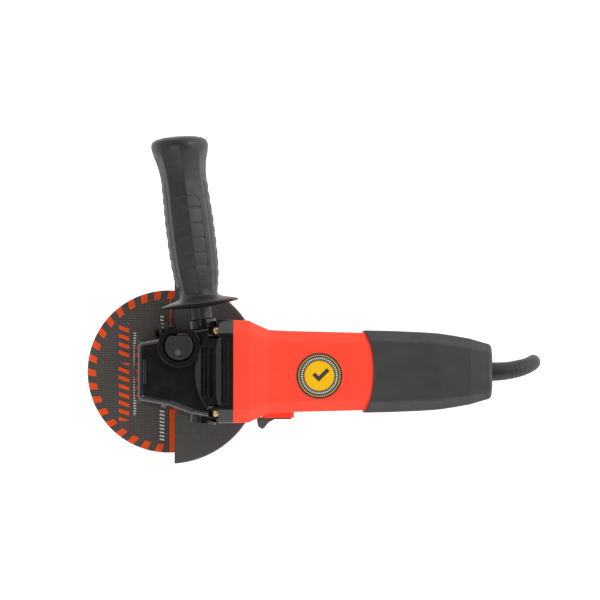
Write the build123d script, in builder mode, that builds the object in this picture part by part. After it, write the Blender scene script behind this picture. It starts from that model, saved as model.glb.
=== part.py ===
from build123d import *
import math
import os

os.makedirs("parts", exist_ok=True)

# An angle grinder for 125 mm discs, lying on its guard. The spindle turns about Z and the motor
# about X. The origin is on the spindle's axis, at the face of the inner flange that the disc
# seats on. +X runs to the tail, +Y to the side handle. All sizes are in millimetres.

# ---------------------------------------------------------------- driving dimensions

# heights
floor_z = -13.5
motor_axis_z = 48.5

# clearances
seat = 0.02
running = 0.05
between = 0.3

# disc and its clamping pieces
disc_radius = 62.5
disc_thickness = 1.6
disc_bore_radius = 11.115
inner_flange_radius = 20.5
inner_flange_thickness = 7.0
nut_radius = 20.0
nut_thickness = 7.5
wrench_hole_circle = 15.0
wrench_hole_radius = 2.5
wrench_hole_depth = 5.5

# spindle, an M14 thread below a 12 mm journal
tip_length = 3.4
tip_radius = 7.0
tip_chamfer = 0.5
thread_radius = 6.7
shoulder_radius = 9.0
journal_radius = 6.0
spindle_neck_radius = 5.0
needle_radius = 4.0
spindle_bearing_low = 16.5
spindle_bearing_width = 10.0
spindle_bearing_radius = 16.0
needle_low = 59.5
spindle_top = 67.0
needle_bush_radius = 6.0
needle_bush_top = 68.0

# bevel gears, which share an apex where the two axes cross
crown_teeth = 37
pinion_teeth = 12
crown_radius = 22.6
gear_face_width = 4.2
crown_hub_top = 42.0
gear_backlash_share = 0.2
flank_angle = 20.0

# spindle lock
lock_x, lock_y = 6.6, 14.2
lock_pin_radius = 2.2
lock_hole_radius = 2.6
lock_travel = 4.0
lock_hole_count = 4
button_x, button_y = 7.5, 19.0
button_radius = 10.3
button_flat = 7.5
button_low = 75.0
button_high = 82.0
pocket_floor = 70.5
pocket_radius = 11.8
pocket_flat = 9.8
spring_pocket_low = 66.0
lock_spring_radius = 3.6
lock_spring_wire = 0.45

# gear housing
head_bottom = 27.0
nose_top = 73.5
boss_top = 79.0
boss_radius = 15.8
boss_flat = 12.6
cavity_radius = 23.2
cavity_top = 59.0
rear_body_front = 19.6
housing_joint_x = 48.0
rear_flange_x = 37.0
collar_half_width = 38.6
collar_half_height = 33.0
screw_y = 29.8
screw_dz = 22.0
screw_boss_end = 60.0
screw_shank_radius = 2.0
screw_head_radius, screw_head_height = 4.2, 4.2
screw_pocket_radius = 5.4
screw_pocket_x = 29.5
throat_radius = 10.0
chamber_taper = 4.0

# bearing cover and guard
cover_thickness = 6.0
cover_low = head_bottom - cover_thickness
neck_radius = 21.0
neck_low = 9.5
guard_radius = 70.8
guard_sheet = 1.8
guard_plate_low = 10.0
guard_edge_x = 4.4
guard_band_top = 20.0
ear_angle = 97.0
ear_reach = 37.6
ear_gap = 3.0

# side handle, which leans forward
handle_root_x, handle_root_y = 25.0, 38.9
handle_lean = 7.4
handle_flange_radius = 29.5
handle_flange_at = 11.4
handle_length = 127.5
handle_boss_radius = 10.5
stud_radius = 3.4
stud_reach = 13.5
stud_in_grip = 26.0
stud_hole_depth = 15.0

# motor housing and rear cover
wall = 2.6
seam_side_x = 147.3
seam_top_x = 153.4
seam_half_width = 31.2
bulkhead_start, bulkhead_end = 142.0, 147.0
tail_x = 243.4
tail_rounding = 4.5
tail_wall_x = 239.5

# motor
armature_radius = 16.7
stator_radius = 25.4
stator_bore = 17.3
stator_flat = 23.4
stack_start, stack_end = 71.0, 113.0
commutator_radius = 11.0
commutator_start, commutator_end = 123.0, 138.0
front_bearing_start, front_bearing_width = 28.0, 8.0
front_bearing_radius, front_journal_radius = 13.0, 5.0
rear_bearing_start, rear_bearing_width = 146.0, 7.0
rear_bearing_radius, rear_journal_radius = 11.0, 4.0
fan_radius = 27.5
fan_start, fan_end = 50.0, 59.0

# slide switch on the -Y side
slider_travel = 6.5
channel_half_height = 10.8
slot_half_height = 4.4
rod_inner, rod_outer = 23.8, 26.0
rod_half_height = 3.0
rod_start_x, rod_end_x = 75.0, 166.0
rod_arm_start, rod_arm_end = 157.0, 160.0
switch_start, switch_end = 163.0, 187.0
spring_stop_x = 182.0

# mains lead
cord_diameter = 6.4
hank_start_x = 74.0
hank_fold_radius = 21.5
hank_run = 112.0
hank_layers = 5
plug_z = -2.5
plug_end_x, plug_shoulder_x, plug_face_x = 163.4, 172.0, 204.0
pin_spread = 9.5
pin_length, pin_radius = 19.0, 2.4

# ---------------------------------------------------------------- shared planes and helpers

spindle_line = Axis.Z
motor_line = Axis((0, 0, motor_axis_z), (1, 0, 0))
motor_plane = Plane((0, 0, motor_axis_z), x_dir=(1, 0, 0), z_dir=(0, -1, 0))


def across(station, y=0.0, dz=0.0):
    """The plane across X at a station, with Y to its right and Z up, centred on (y, axis + dz)."""
    return Plane((station, y, motor_axis_z + dz), x_dir=(0, 1, 0), z_dir=(1, 0, 0))


def level(height):
    """The horizontal plane at a height."""
    return Plane.XY.offset(height)


def turn_z(*outline, mode=Mode.ADD):
    """Turn a closed outline of (radius, height) points about the spindle's axis."""
    with BuildSketch(Plane.XZ) as profile:
        with BuildLine():
            Polyline(*outline, close=True)
        make_face()
    revolve(profile.sketch.faces(), axis=spindle_line, mode=mode)


def turn_x(*outline, mode=Mode.ADD):
    """Turn a closed outline of (station, radius) points about the motor's axis."""
    with BuildSketch(motor_plane) as profile:
        with BuildLine():
            Polyline(*outline, close=True)
        make_face()
    revolve(profile.sketch.faces(), axis=motor_line, mode=mode)


def rod_x(start, end, radius, y=0.0, dz=0.0, mode=Mode.ADD):
    """A round bar along X."""
    with BuildSketch(across(start, y, dz)) as disc:
        Circle(radius)
    extrude(disc.sketch, amount=end - start, mode=mode)


def rod_z(low, high, radius, x=0.0, y=0.0, mode=Mode.ADD):
    """A round bar along Z."""
    with BuildSketch(level(low)) as disc:
        with Locations((x, y)):
            Circle(radius)
    extrude(disc.sketch, amount=high - low, mode=mode)


def block(low, high, mode=Mode.ADD):
    """A box between two opposite corners."""
    middle = (Vector(*low) + Vector(*high)) / 2
    size = [abs(b - a) for a, b in zip(low, high)]
    with Locations(middle):
        Box(*size, mode=mode)


def shell_section(station, half_width, half_height, bevel, softness, centre_dz=0.0):
    """A bevelled and softened rectangle across X, one rib of a moulded shell."""
    with BuildSketch(across(station, dz=centre_dz)) as section:
        Rectangle(2 * half_width, 2 * half_height)
        chamfer(section.vertices(), bevel)
        fillet(section.vertices(), softness)
    return section.sketch


def shell_loft(ribs, inset=0.0, mode=Mode.ADD):
    """Join ribs of (station, half width, half height, bevel) along X, drawn in by inset."""
    sections = [
        shell_section(station, half_width - inset, half_height - inset, bevel - 0.4 * inset, 3.0)
        for station, half_width, half_height, bevel in ribs
    ]
    loft(sections, ruled=True, mode=mode)


def beyond_seam(far_x, mode):
    """Cut with the region on one side of the curved joint between the red and the dark shell."""
    side = seam_half_width
    with BuildSketch(level(motor_axis_z - 45)) as region:
        with BuildLine():
            ThreePointArc((seam_side_x, -side), (seam_top_x, 0), (seam_side_x, side))
            Polyline((seam_side_x, side), (far_x, side), (far_x, -side), (seam_side_x, -side))
        make_face()
    extrude(region.sketch, amount=90, mode=mode)


def rings_z(low, width, inner, outer):
    """A plain ring about the spindle's axis."""
    turn_z((inner, low), (outer, low), (outer, low + width), (inner, low + width))


def rings_x(start, width, inner, outer):
    """A plain ring about the motor's axis."""
    turn_x((start, inner), (start, outer), (start + width, outer), (start + width, inner))


def sector(start, end, inner, outer, first_angle, last_angle, mode=Mode.ADD):
    """Part of a ring about the motor's axis, between two angles from +Y towards +Z."""
    turn = math.radians(first_angle)
    plane = Plane(motor_line.position, x_dir=(1, 0, 0), z_dir=(0, -math.sin(turn), math.cos(turn)))
    with BuildSketch(plane) as profile:
        with BuildLine():
            Polyline((start, inner), (start, outer), (end, outer), (end, inner), close=True)
        make_face()
    arc = last_angle - first_angle
    revolve(profile.sketch.faces(), axis=motor_line, revolution_arc=arc, mode=mode)


def race_radii(bore, outer):
    """The outer radius of an inner race, the inner radius of an outer race, and the ball radius."""
    middle = (bore + outer) / 2
    ball = 0.29 * (outer - bore)
    return middle - ball - running, middle + ball + running, ball


def coil_spring(start, direction, length, radius, wire, turns):
    """An open coil of round wire from a point along a direction."""
    with BuildLine() as coil:
        Helix(pitch=length / turns, height=length, radius=radius, center=start, direction=direction)
    with BuildSketch(Plane(origin=coil.line @ 0, z_dir=coil.line % 0)) as wire_end:
        Circle(wire)
    sweep(wire_end.sketch, path=coil.line, is_frenet=True)


def tube(name, points):
    """A round cord along a route, each corner rounded as far as its shorter run allows."""
    points = [Vector(*point) for point in points]
    radii = []
    for before, corner, after in zip(points, points[1:], points[2:]):
        half_turn = math.radians((corner - before).get_angle(after - corner)) / 2
        shorter = min((corner - before).length, (after - corner).length)
        radii.append(0.45 * shorter / math.tan(half_turn))
    with BuildLine() as route:
        FilletPolyline(*points, radius=radii)
    with BuildSketch(Plane(origin=route.line @ 0, z_dir=route.line % 0)) as end:
        Circle(cord_diameter / 2)
    sweep(end.sketch, path=route.line)
    length = sum(edge.length for edge in route.edges())
    print(name, "length", round(length, 1), "radii", [round(radius, 1) for radius in radii])


# ---------------------------------------------------------------- spindle and disc

nut_low = -disc_thickness - nut_thickness
tip_z = nut_low - tip_length
spindle_bearing_top = spindle_bearing_low + spindle_bearing_width
crown_low = spindle_bearing_top + 1.0

with BuildPart() as spindle:
    turn_z(
        (0, tip_z),
        (tip_radius - tip_chamfer, tip_z),
        (tip_radius, tip_z + tip_chamfer),
        (tip_radius, nut_low),
        (thread_radius, nut_low),
        (thread_radius, inner_flange_thickness),
        (shoulder_radius, inner_flange_thickness),
        (shoulder_radius, spindle_bearing_low),
        (journal_radius, spindle_bearing_low),
        (journal_radius, crown_hub_top),
        (spindle_neck_radius, crown_hub_top),
        (spindle_neck_radius, needle_low - 0.5),
        (needle_radius, needle_low - 0.5),
        (needle_radius, spindle_top),
        (0, spindle_top),
    )
spindle.part.label = "spindle"
export_step(spindle.part, "parts/spindle.step")

with BuildPart() as inner_flange:
    relief = 1.2
    turn_z(
        (thread_radius + seat, -1.2),
        (disc_bore_radius - running, -1.2),
        (disc_bore_radius - running, relief - 0.8),
        (inner_flange_radius - 6, relief - 0.8),
        (inner_flange_radius - 6, 0),
        (inner_flange_radius, 0),
        (inner_flange_radius, inner_flange_thickness - 3),
        (shoulder_radius + 3, inner_flange_thickness),
        (thread_radius + seat, inner_flange_thickness),
    )
inner_flange.part.label = "inner_flange"
export_step(inner_flange.part, "parts/inner_flange.step")

with BuildPart() as cutting_disc:
    turn_z(
        (disc_bore_radius, -disc_thickness),
        (disc_radius, -disc_thickness),
        (disc_radius, 0),
        (disc_bore_radius, 0),
    )
cutting_disc.part.label = "cutting_disc"
export_step(cutting_disc.part, "parts/cutting_disc.step")

with BuildPart() as flange_nut:
    turn_z(
        (thread_radius + seat, nut_low),
        (nut_radius - 1, nut_low),
        (nut_radius, nut_low + 1),
        (nut_radius, -disc_thickness),
        (nut_radius - 6, -disc_thickness),
        (nut_radius - 6, -disc_thickness - 0.8),
        (thread_radius + seat, -disc_thickness - 0.8),
    )
    with Locations(Plane(origin=(0, 0, nut_low), z_dir=(0, 0, -1))):
        with PolarLocations(wrench_hole_circle, 4):
            Hole(wrench_hole_radius, wrench_hole_depth)
flange_nut.part.label = "flange_nut"
export_step(flange_nut.part, "parts/flange_nut.step")

# ---------------------------------------------------------------- bevel gears

pinion_radius = crown_radius * pinion_teeth / crown_teeth
gear_module = 2 * crown_radius / crown_teeth
addendum = 0.8 * gear_module
dedendum = 1.05 * gear_module
tooth_half = math.pi * gear_module * (1 - gear_backlash_share) / 4
flank = math.tan(math.radians(flank_angle))


def bevel_tooth(drop_root, drop_tip, half_root, half_tip, outer_x, inner_x):
    """A tooth that narrows to the apex, below the motor's axis at outer_x and at inner_x."""
    ends = []
    for station in (outer_x, inner_x):
        shrink = station / crown_radius
        with BuildSketch(across(station)) as end:
            with BuildLine():
                Polyline(
                    (-half_root * shrink, -drop_root * shrink),
                    (half_root * shrink, -drop_root * shrink),
                    (half_tip * shrink, -drop_tip * shrink),
                    (-half_tip * shrink, -drop_tip * shrink),
                    close=True,
                )
            make_face()
        ends.append(end.sketch)
    loft(ends, ruled=True)


crown_inner_x = crown_radius - gear_face_width
with BuildPart() as crown_tooth:
    bevel_tooth(
        pinion_radius + dedendum + 0.3,
        pinion_radius - addendum,
        tooth_half + (dedendum + 0.3) * flank,
        tooth_half - addendum * flank,
        crown_radius,
        crown_inner_x,
    )

crown_root_z = motor_axis_z - pinion_radius - dedendum
crown_inner_root_z = motor_axis_z - (pinion_radius + dedendum) * crown_inner_x / crown_radius
with BuildPart() as crown_gear:
    turn_z(
        (journal_radius + seat, crown_low),
        (crown_radius - 6, crown_low),
        (crown_radius, crown_low + 6),
        (crown_radius, crown_root_z),
        (crown_inner_x, crown_inner_root_z),
        (crown_inner_x, crown_hub_top),
        (journal_radius + seat, crown_hub_top),
    )
    with PolarLocations(0, crown_teeth):
        add(crown_tooth.part)
    lock_circle = math.hypot(lock_x, lock_y)
    lock_turn = math.degrees(math.atan2(lock_y, lock_x))
    with Locations((0, 0, crown_hub_top)):
        with PolarLocations(lock_circle, lock_hole_count, start_angle=lock_turn):
            Hole(lock_hole_radius, 6)
crown_gear.part.label = "crown_gear"
export_step(crown_gear.part, "parts/crown_gear.step")

pinion_inner_x = crown_inner_x + 0.4
pinion_hub_end = 26.0
pinion_bore = 3.5
nut_start_x = 13.3
with BuildPart() as pinion_tooth:
    bevel_tooth(
        pinion_radius - dedendum - 0.3,
        pinion_radius + addendum,
        tooth_half + dedendum * flank / 2,
        tooth_half - addendum * flank * 1.4,
        crown_radius,
        pinion_inner_x,
    )

with BuildPart() as pinion_gear:
    root = pinion_radius - dedendum
    turn_x(
        (pinion_inner_x, pinion_bore + seat),
        (pinion_inner_x, root * pinion_inner_x / crown_radius),
        (crown_radius, root),
        (pinion_hub_end, root),
        (pinion_hub_end, pinion_bore + seat),
    )
    half_pitch = 180 / pinion_teeth
    for index in range(pinion_teeth):
        add(pinion_tooth.part.rotate(motor_line, half_pitch * (2 * index + 1)))
pinion_gear.part.label = "pinion_gear"
export_step(pinion_gear.part, "parts/pinion_gear.step")

with BuildPart() as pinion_nut:
    with BuildSketch(across(nut_start_x)):
        RegularPolygon(5.3, 6)
        Circle(3 + seat, mode=Mode.SUBTRACT)
    extrude(amount=pinion_inner_x - nut_start_x)
pinion_nut.part.label = "pinion_nut"
export_step(pinion_nut.part, "parts/pinion_nut.step")

# ---------------------------------------------------------------- bearings

spindle_races = race_radii(journal_radius, spindle_bearing_radius)
front_races = race_radii(front_journal_radius, front_bearing_radius)
rear_races = race_radii(rear_journal_radius, rear_bearing_radius)
front_bearing_middle = front_bearing_start + front_bearing_width / 2
rear_bearing_middle = rear_bearing_start + rear_bearing_width / 2
front_ball_circle = (front_journal_radius + front_bearing_radius) / 2
rear_ball_circle = (rear_journal_radius + rear_bearing_radius) / 2

with BuildPart() as spindle_inner_race:
    rings_z(spindle_bearing_low, spindle_bearing_width, journal_radius + seat, spindle_races[0])
spindle_inner_race.part.label = "spindle_inner_race"
export_step(spindle_inner_race.part, "parts/spindle_inner_race.step")

with BuildPart() as armature_inner_races:
    rings_x(front_bearing_start, front_bearing_width, front_journal_radius + seat, front_races[0])
    rings_x(rear_bearing_start, rear_bearing_width, rear_journal_radius + seat, rear_races[0])
armature_inner_races.part.label = "armature_inner_races"
export_step(armature_inner_races.part, "parts/armature_inner_races.step")

with BuildPart() as bearing_outer_races:
    rings_z(spindle_bearing_low, spindle_bearing_width, spindle_races[1], spindle_bearing_radius)
    rings_x(front_bearing_start, front_bearing_width, front_races[1], front_bearing_radius)
    rings_x(rear_bearing_start, rear_bearing_width, rear_races[1], rear_bearing_radius)
bearing_outer_races.part.label = "bearing_outer_races"
export_step(bearing_outer_races.part, "parts/bearing_outer_races.step")

with BuildPart() as bearing_balls:
    with Locations((0, 0, spindle_bearing_low + spindle_bearing_width / 2)):
        with PolarLocations((journal_radius + spindle_bearing_radius) / 2, 8):
            Sphere(spindle_races[2])
    for middle, ball_circle, ball in (
        (front_bearing_middle, front_ball_circle, front_races[2]),
        (rear_bearing_middle, rear_ball_circle, rear_races[2]),
    ):
        with Locations(across(middle)):
            with PolarLocations(ball_circle, 7):
                Sphere(ball)
bearing_balls.part.label = "bearing_balls"
export_step(bearing_balls.part, "parts/bearing_balls.step")

with BuildPart() as needle_bush:
    rings_z(needle_low, spindle_top - needle_low, needle_radius + running, needle_bush_radius)
needle_bush.part.label = "needle_bush"
export_step(needle_bush.part, "parts/needle_bush.step")

# ---------------------------------------------------------------- gear housing

handle_direction = Vector(-math.sin(math.radians(handle_lean)), math.cos(math.radians(handle_lean)), 0)
spare_direction = Vector(handle_direction.X, -handle_direction.Y, 0)
handle_seat = Plane((handle_root_x, handle_root_y, motor_axis_z), z_dir=handle_direction)
spare_seat = Plane((handle_root_x, -handle_root_y, motor_axis_z), z_dir=spare_direction)

collar_bevel = 10.0
nose_outline = (
    (-25.9, -20.0),
    (-22.6, -24.4),
    (0, -28.4),
    (16, -34.4),
    (36, -37.8),
    (36, 37.8),
    (16, 34.4),
    (0, 28.4),
    (-22.6, 24.4),
    (-25.9, 20.0),
)
bow_radius = 47.0
bow_reach = 36.0
bow_end_x = rear_body_front + bow_radius - math.sqrt(bow_radius**2 - bow_reach**2)
crest_half_height = 31.0
crest_top = motor_axis_z + crest_half_height
crest_edge_x = 23.6
crest_slope = 0.65
bush_bore = needle_bush_radius + seat
plate_radius = 26.9
plate_hub_radius = 16.0
cover_screw_places = ((-19.4, -19.4), (-19.4, 19.4), (19.4, -19.4), (19.4, 19.4))
cover_screw_radius = 1.7
cover_screw_reach = 8.0
cover_hole_radius = cover_screw_radius + seat
cover_hole_top = head_bottom + cover_screw_reach + 1
crest_grooves = ((24.1, 25.6), (26.9, 28.4), (30.2, 33.4))
groove_low_y, groove_high_y = -19.5, 18.3
groove_floor = crest_top - 3
flange_top = motor_axis_z + collar_half_height
ramp_start_x, ramp_end_x, ramp_tip_x = 33.4, 39.0, 36.8
ramp_low = crest_top - 0.9
ramp_reach = 25.0
slot_depth = 2.0
pad_height_above = 0.5
nose_rib_x, nose_rib_radius, nose_rib_reach = -18.2, 1.1, 9.0

with BuildPart() as head_nose:
    with BuildSketch(level(head_bottom)) as nose_plan:
        with BuildLine():
            Polyline(*nose_outline, close=True)
        make_face()
        fillet(nose_plan.vertices().sort_by(Axis.X)[:4], 3.5)
    extrude(amount=nose_top - head_bottom, taper=chamber_taper)
    fillet(head_nose.faces().sort_by(Axis.Z)[-1].edges(), 4.0)

with BuildPart() as flange_ramp:
    # rises from the crest to the flange, with a bowed foot
    with BuildSketch(level(groove_floor)):
        with BuildLine():
            ThreePointArc((ramp_tip_x, -ramp_reach), (ramp_start_x, 0), (ramp_tip_x, ramp_reach))
            Polyline(
                (ramp_tip_x, ramp_reach),
                (ramp_end_x, ramp_reach),
                (ramp_end_x, -ramp_reach),
                (ramp_tip_x, -ramp_reach),
            )
        make_face()
    extrude(amount=flange_top - groove_floor)
    with BuildSketch(Plane.XZ):
        with BuildLine():
            Polyline(
                (ramp_start_x, groove_floor),
                (ramp_start_x, ramp_low),
                (ramp_end_x, flange_top),
                (ramp_end_x, groove_floor),
                close=True,
            )
        make_face()
    extrude(amount=ramp_reach, both=True, mode=Mode.INTERSECT)

with BuildPart() as gear_housing:
    # ridged rear body, bowed in front, with a slanted lens-shaped facet at its crest
    with BuildSketch(level(head_bottom)):
        with BuildLine():
            ThreePointArc((bow_end_x, -bow_reach), (rear_body_front, 0), (bow_end_x, bow_reach))
            Polyline(
                (bow_end_x, bow_reach),
                (housing_joint_x, bow_reach),
                (housing_joint_x, -bow_reach),
                (bow_end_x, -bow_reach),
            )
        make_face()
    extrude(amount=60)
    crest_section = shell_section(0, collar_half_width - 1, crest_half_height, collar_bevel, 3.0)
    extrude(crest_section, amount=housing_joint_x, mode=Mode.INTERSECT)
    with BuildSketch(Plane.XZ):
        with BuildLine():
            Polyline(
                (crest_edge_x, crest_top),
                (crest_edge_x - 10, crest_top - 10 * crest_slope),
                (crest_edge_x - 10, crest_top + 1),
                (crest_edge_x, crest_top + 1),
                close=True,
            )
        make_face()
    extrude(amount=bow_reach, both=True, mode=Mode.SUBTRACT)
    # cooling grooves across the crest
    for start, end in crest_grooves:
        block((start, groove_low_y, groove_floor), (end, groove_high_y, crest_top + 1), Mode.SUBTRACT)
    # nose, with a short rib across its top
    add(head_nose.part)
    with BuildSketch(Plane.XZ):
        with Locations((nose_rib_x, nose_top - 0.4)):
            Circle(nose_rib_radius)
    extrude(amount=nose_rib_reach, both=True)
    # the flange that meets the motor housing, with a ramp, a slot and a pad across its top
    flange_section = shell_section(
        rear_flange_x, collar_half_width, collar_half_height, collar_bevel, 3.0
    )
    extrude(flange_section, amount=housing_joint_x - rear_flange_x)
    block(
        (rear_flange_x, -ramp_reach, ramp_low),
        (ramp_end_x, ramp_reach, flange_top + 1),
        Mode.SUBTRACT,
    )
    add(flange_ramp.part)
    block(
        (ramp_end_x + 0.2, -ramp_reach, flange_top - slot_depth),
        (ramp_end_x + 1.5, ramp_reach, flange_top + 1),
        Mode.SUBTRACT,
    )
    block(
        (ramp_end_x + 2.1, -ramp_reach + 0.5, flange_top - slot_depth),
        (ramp_end_x + 5.2, ramp_reach - 0.5, flange_top + pad_height_above),
    )
    # boss and pocket of the lock button
    with BuildSketch(level(cavity_top)):
        with Locations((button_x, button_y)):
            Circle(boss_radius)
        with Locations((button_x, button_y + boss_flat + 10)):
            Rectangle(60, 20, mode=Mode.SUBTRACT)
    extrude(amount=boss_top - cavity_top)
    # bosses of the two handle holes
    for seat_plane in (handle_seat, spare_seat):
        with BuildSketch(seat_plane):
            Circle(handle_boss_radius)
        extrude(amount=-20)
    # everything below the cover joint goes, except under the flange
    block((-40, -60, 0), (rear_flange_x, 60, head_bottom), Mode.SUBTRACT)
    # pockets and shank holes of the housing screws
    for side in (-1, 1):
        for dz in (-screw_dz, screw_dz):
            place = (side * screw_y, dz, Mode.SUBTRACT)
            rod_x(screw_pocket_x, rear_flange_x, screw_pocket_radius, *place)
            block(
                (screw_pocket_x, side * screw_y - screw_pocket_radius, motor_axis_z + dz),
                (rear_flange_x, side * screw_y + screw_pocket_radius, motor_axis_z + 2.2 * dz),
                Mode.SUBTRACT,
            )
            rod_x(rear_flange_x, housing_joint_x, screw_shank_radius + 0.2, *place)
    # gear chamber, pinion throat, bearing plate seat and needle bush seat
    rod_z(head_bottom, cavity_top, cavity_radius, mode=Mode.SUBTRACT)
    rod_x(0, rear_flange_x, throat_radius, mode=Mode.SUBTRACT)
    rod_x(25.5, rear_flange_x, plate_hub_radius + 0.3, mode=Mode.SUBTRACT)
    rod_x(35.7, housing_joint_x, plate_radius + seat, mode=Mode.SUBTRACT)
    rod_z(cavity_top, needle_bush_top, bush_bore, mode=Mode.SUBTRACT)
    # lock button pocket, spring pocket and pin guide
    with BuildSketch(level(pocket_floor)):
        with Locations((button_x, button_y)):
            Circle(pocket_radius)
        with Locations((button_x, button_y + pocket_flat + 10)):
            Rectangle(60, 20, mode=Mode.SUBTRACT)
    extrude(amount=20, mode=Mode.SUBTRACT)
    rod_z(spring_pocket_low, pocket_floor, lock_spring_radius + 1, lock_x, lock_y, Mode.SUBTRACT)
    rod_z(cavity_top - 1, spring_pocket_low, lock_pin_radius + running, lock_x, lock_y, Mode.SUBTRACT)
    # threaded handle holes and cover screw holes
    for seat_plane in (handle_seat, spare_seat):
        with BuildSketch(seat_plane):
            Circle(stud_radius + running)
        extrude(amount=-stud_hole_depth, mode=Mode.SUBTRACT)
    for x, y in cover_screw_places:
        rod_z(head_bottom, cover_hole_top, cover_hole_radius, x, y, Mode.SUBTRACT)
gear_housing.part.label = "gear_housing"
export_step(gear_housing.part, "parts/gear_housing.step")

# ---------------------------------------------------------------- spindle lock

with BuildPart() as lock_button:
    with BuildSketch(level(button_low)) as button_plan:
        with Locations((button_x, button_y)):
            Circle(button_radius)
        with Locations((button_x, button_y + button_flat + 10)):
            Rectangle(60, 20, mode=Mode.SUBTRACT)
    extrude(amount=button_high - button_low)
    fillet(lock_button.faces().sort_by(Axis.Z)[-1].edges(), 0.8)
    rod_z(button_low, button_high, lock_pin_radius + seat, lock_x, lock_y, Mode.SUBTRACT)
lock_button.part.label = "lock_button"
export_step(lock_button.part, "parts/lock_button.step")

lock_pin_low = crown_hub_top + lock_travel / 2
with BuildPart() as lock_pin:
    rod_z(lock_pin_low, button_high + 0.3, lock_pin_radius, lock_x, lock_y)
lock_pin.part.label = "lock_pin"
export_step(lock_pin.part, "parts/lock_pin.step")

with BuildPart() as lock_spring:
    spring_low = spring_pocket_low + lock_spring_wire + seat
    spring_high = button_low - lock_spring_wire - seat
    coil_spring(
        (lock_x, lock_y, spring_low), (0, 0, 1), spring_high - spring_low, lock_spring_radius - 0.4,
        lock_spring_wire, 4,
    )
lock_spring.part.label = "lock_spring"
export_step(lock_spring.part, "parts/lock_spring.step")

with BuildPart() as lock_plate:
    block(
        (button_x - 1, button_y + button_flat + 0.4, pocket_floor + seat),
        (button_x + 7, button_y + pocket_flat - between, boss_top - 1.5),
    )
lock_plate.part.label = "lock_plate"
export_step(lock_plate.part, "parts/lock_plate.step")

# ---------------------------------------------------------------- bearing cover and guard

counterbore_radius = 3.4
counterbore_top = cover_low + 2.6

with BuildPart() as bearing_cover:
    with BuildSketch(level(cover_low)):
        with Locations((0.8, 0)):
            RectangleRounded(51.6, 49, 9)
    extrude(amount=cover_thickness)
    rod_z(neck_low, cover_low, neck_radius)
    rod_z(spindle_bearing_low, head_bottom, spindle_bearing_radius + seat, mode=Mode.SUBTRACT)
    rod_z(neck_low, spindle_bearing_low, shoulder_radius + 0.4, mode=Mode.SUBTRACT)
    for x, y in cover_screw_places:
        rod_z(cover_low, head_bottom, cover_hole_radius, x, y, Mode.SUBTRACT)
        rod_z(cover_low, counterbore_top, counterbore_radius, x, y, Mode.SUBTRACT)
bearing_cover.part.label = "bearing_cover"
export_step(bearing_cover.part, "parts/bearing_cover.step")

with BuildPart() as bearing_cover_screws:
    for x, y in cover_screw_places:
        rod_z(cover_low + 0.2, counterbore_top, counterbore_radius - 0.2, x, y)
        rod_z(counterbore_top, head_bottom + cover_screw_reach, cover_screw_radius, x, y)
        with Locations((x, y, cover_low + 0.2)):
            for turn in (0, 90):
                Box(3.6, 0.8, 2.4, rotation=(0, 0, turn), mode=Mode.SUBTRACT)
bearing_cover_screws.part.label = "bearing_cover_screws"
export_step(bearing_cover_screws.part, "parts/bearing_cover_screws.step")

ear_plane = Plane(Location((0, 0, 0), (0, 0, ear_angle)))
clamp_plane = Plane(ear_plane.origin, x_dir=ear_plane.x_dir, z_dir=ear_plane.y_dir)
band_inner = neck_radius + running
band_outer = band_inner + 2.2
ear_low = guard_plate_low + 2.6
ear_sheet = 2.2
ear_outer = ear_gap / 2 + ear_sheet
clamp_z = (ear_low + guard_band_top) / 2
clamp_reach = 31.5
clamp_screw_radius = 2.1
clamp_head_radius = 3.6
clamp_nut_radius = 3.9

with BuildPart() as guard:
    # dished half: plate and skirt, cut straight across
    turn_z(
        (band_inner, guard_plate_low),
        (guard_radius - guard_sheet, guard_plate_low),
        (guard_radius - guard_sheet, floor_z),
        (guard_radius, floor_z),
        (guard_radius, guard_plate_low + guard_sheet - 1),
        (guard_radius - 1, guard_plate_low + guard_sheet),
        (band_inner, guard_plate_low + guard_sheet),
    )
    block((-80, -80, floor_z - 1), (guard_edge_x, 80, 30), Mode.SUBTRACT)
    # neck band with its split and two ears
    rings_z(guard_plate_low, guard_band_top - guard_plate_low, band_inner, band_outer)
    rings_z(guard_plate_low, guard_sheet, band_inner, band_inner + 6)
    with BuildSketch(ear_plane.offset(ear_low)):
        with Locations((ear_reach / 2, 0)):
            Rectangle(ear_reach, ear_gap + 2 * ear_sheet)
        Circle(band_inner, mode=Mode.SUBTRACT)
    extrude(amount=guard_band_top - ear_low)
    with BuildSketch(ear_plane.offset(ear_low)):
        with Locations((ear_reach / 2, 0)):
            Rectangle(ear_reach + 4, ear_gap)
    extrude(amount=20, mode=Mode.SUBTRACT)
    with BuildSketch(clamp_plane):
        with Locations((clamp_reach, -clamp_z)):
            Circle(clamp_screw_radius + 0.1)
    extrude(amount=10, both=True, mode=Mode.SUBTRACT)
guard.part.label = "guard"
export_step(guard.part, "parts/guard.step")

with BuildPart() as guard_clamp_screw:
    for start, end, radius in (
        (-ear_outer - 5, ear_outer + seat, clamp_screw_radius),
        (ear_outer + seat, ear_outer + 3, clamp_head_radius),
    ):
        with BuildSketch(clamp_plane.offset(start)):
            with Locations((clamp_reach, -clamp_z)):
                Circle(radius)
        extrude(amount=end - start)
guard_clamp_screw.part.label = "guard_clamp_screw"
export_step(guard_clamp_screw.part, "parts/guard_clamp_screw.step")

with BuildPart() as guard_clamp_nut:
    with BuildSketch(clamp_plane.offset(-ear_outer - seat)):
        with Locations((clamp_reach, -clamp_z)):
            RegularPolygon(clamp_nut_radius, 6)
            Circle(clamp_screw_radius + seat, mode=Mode.SUBTRACT)
    extrude(amount=-3.4)
guard_clamp_nut.part.label = "guard_clamp_nut"
export_step(guard_clamp_nut.part, "parts/guard_clamp_nut.step")

# ---------------------------------------------------------------- housing screws and front plate

screw_head_x = rear_flange_x - screw_head_height

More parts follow.
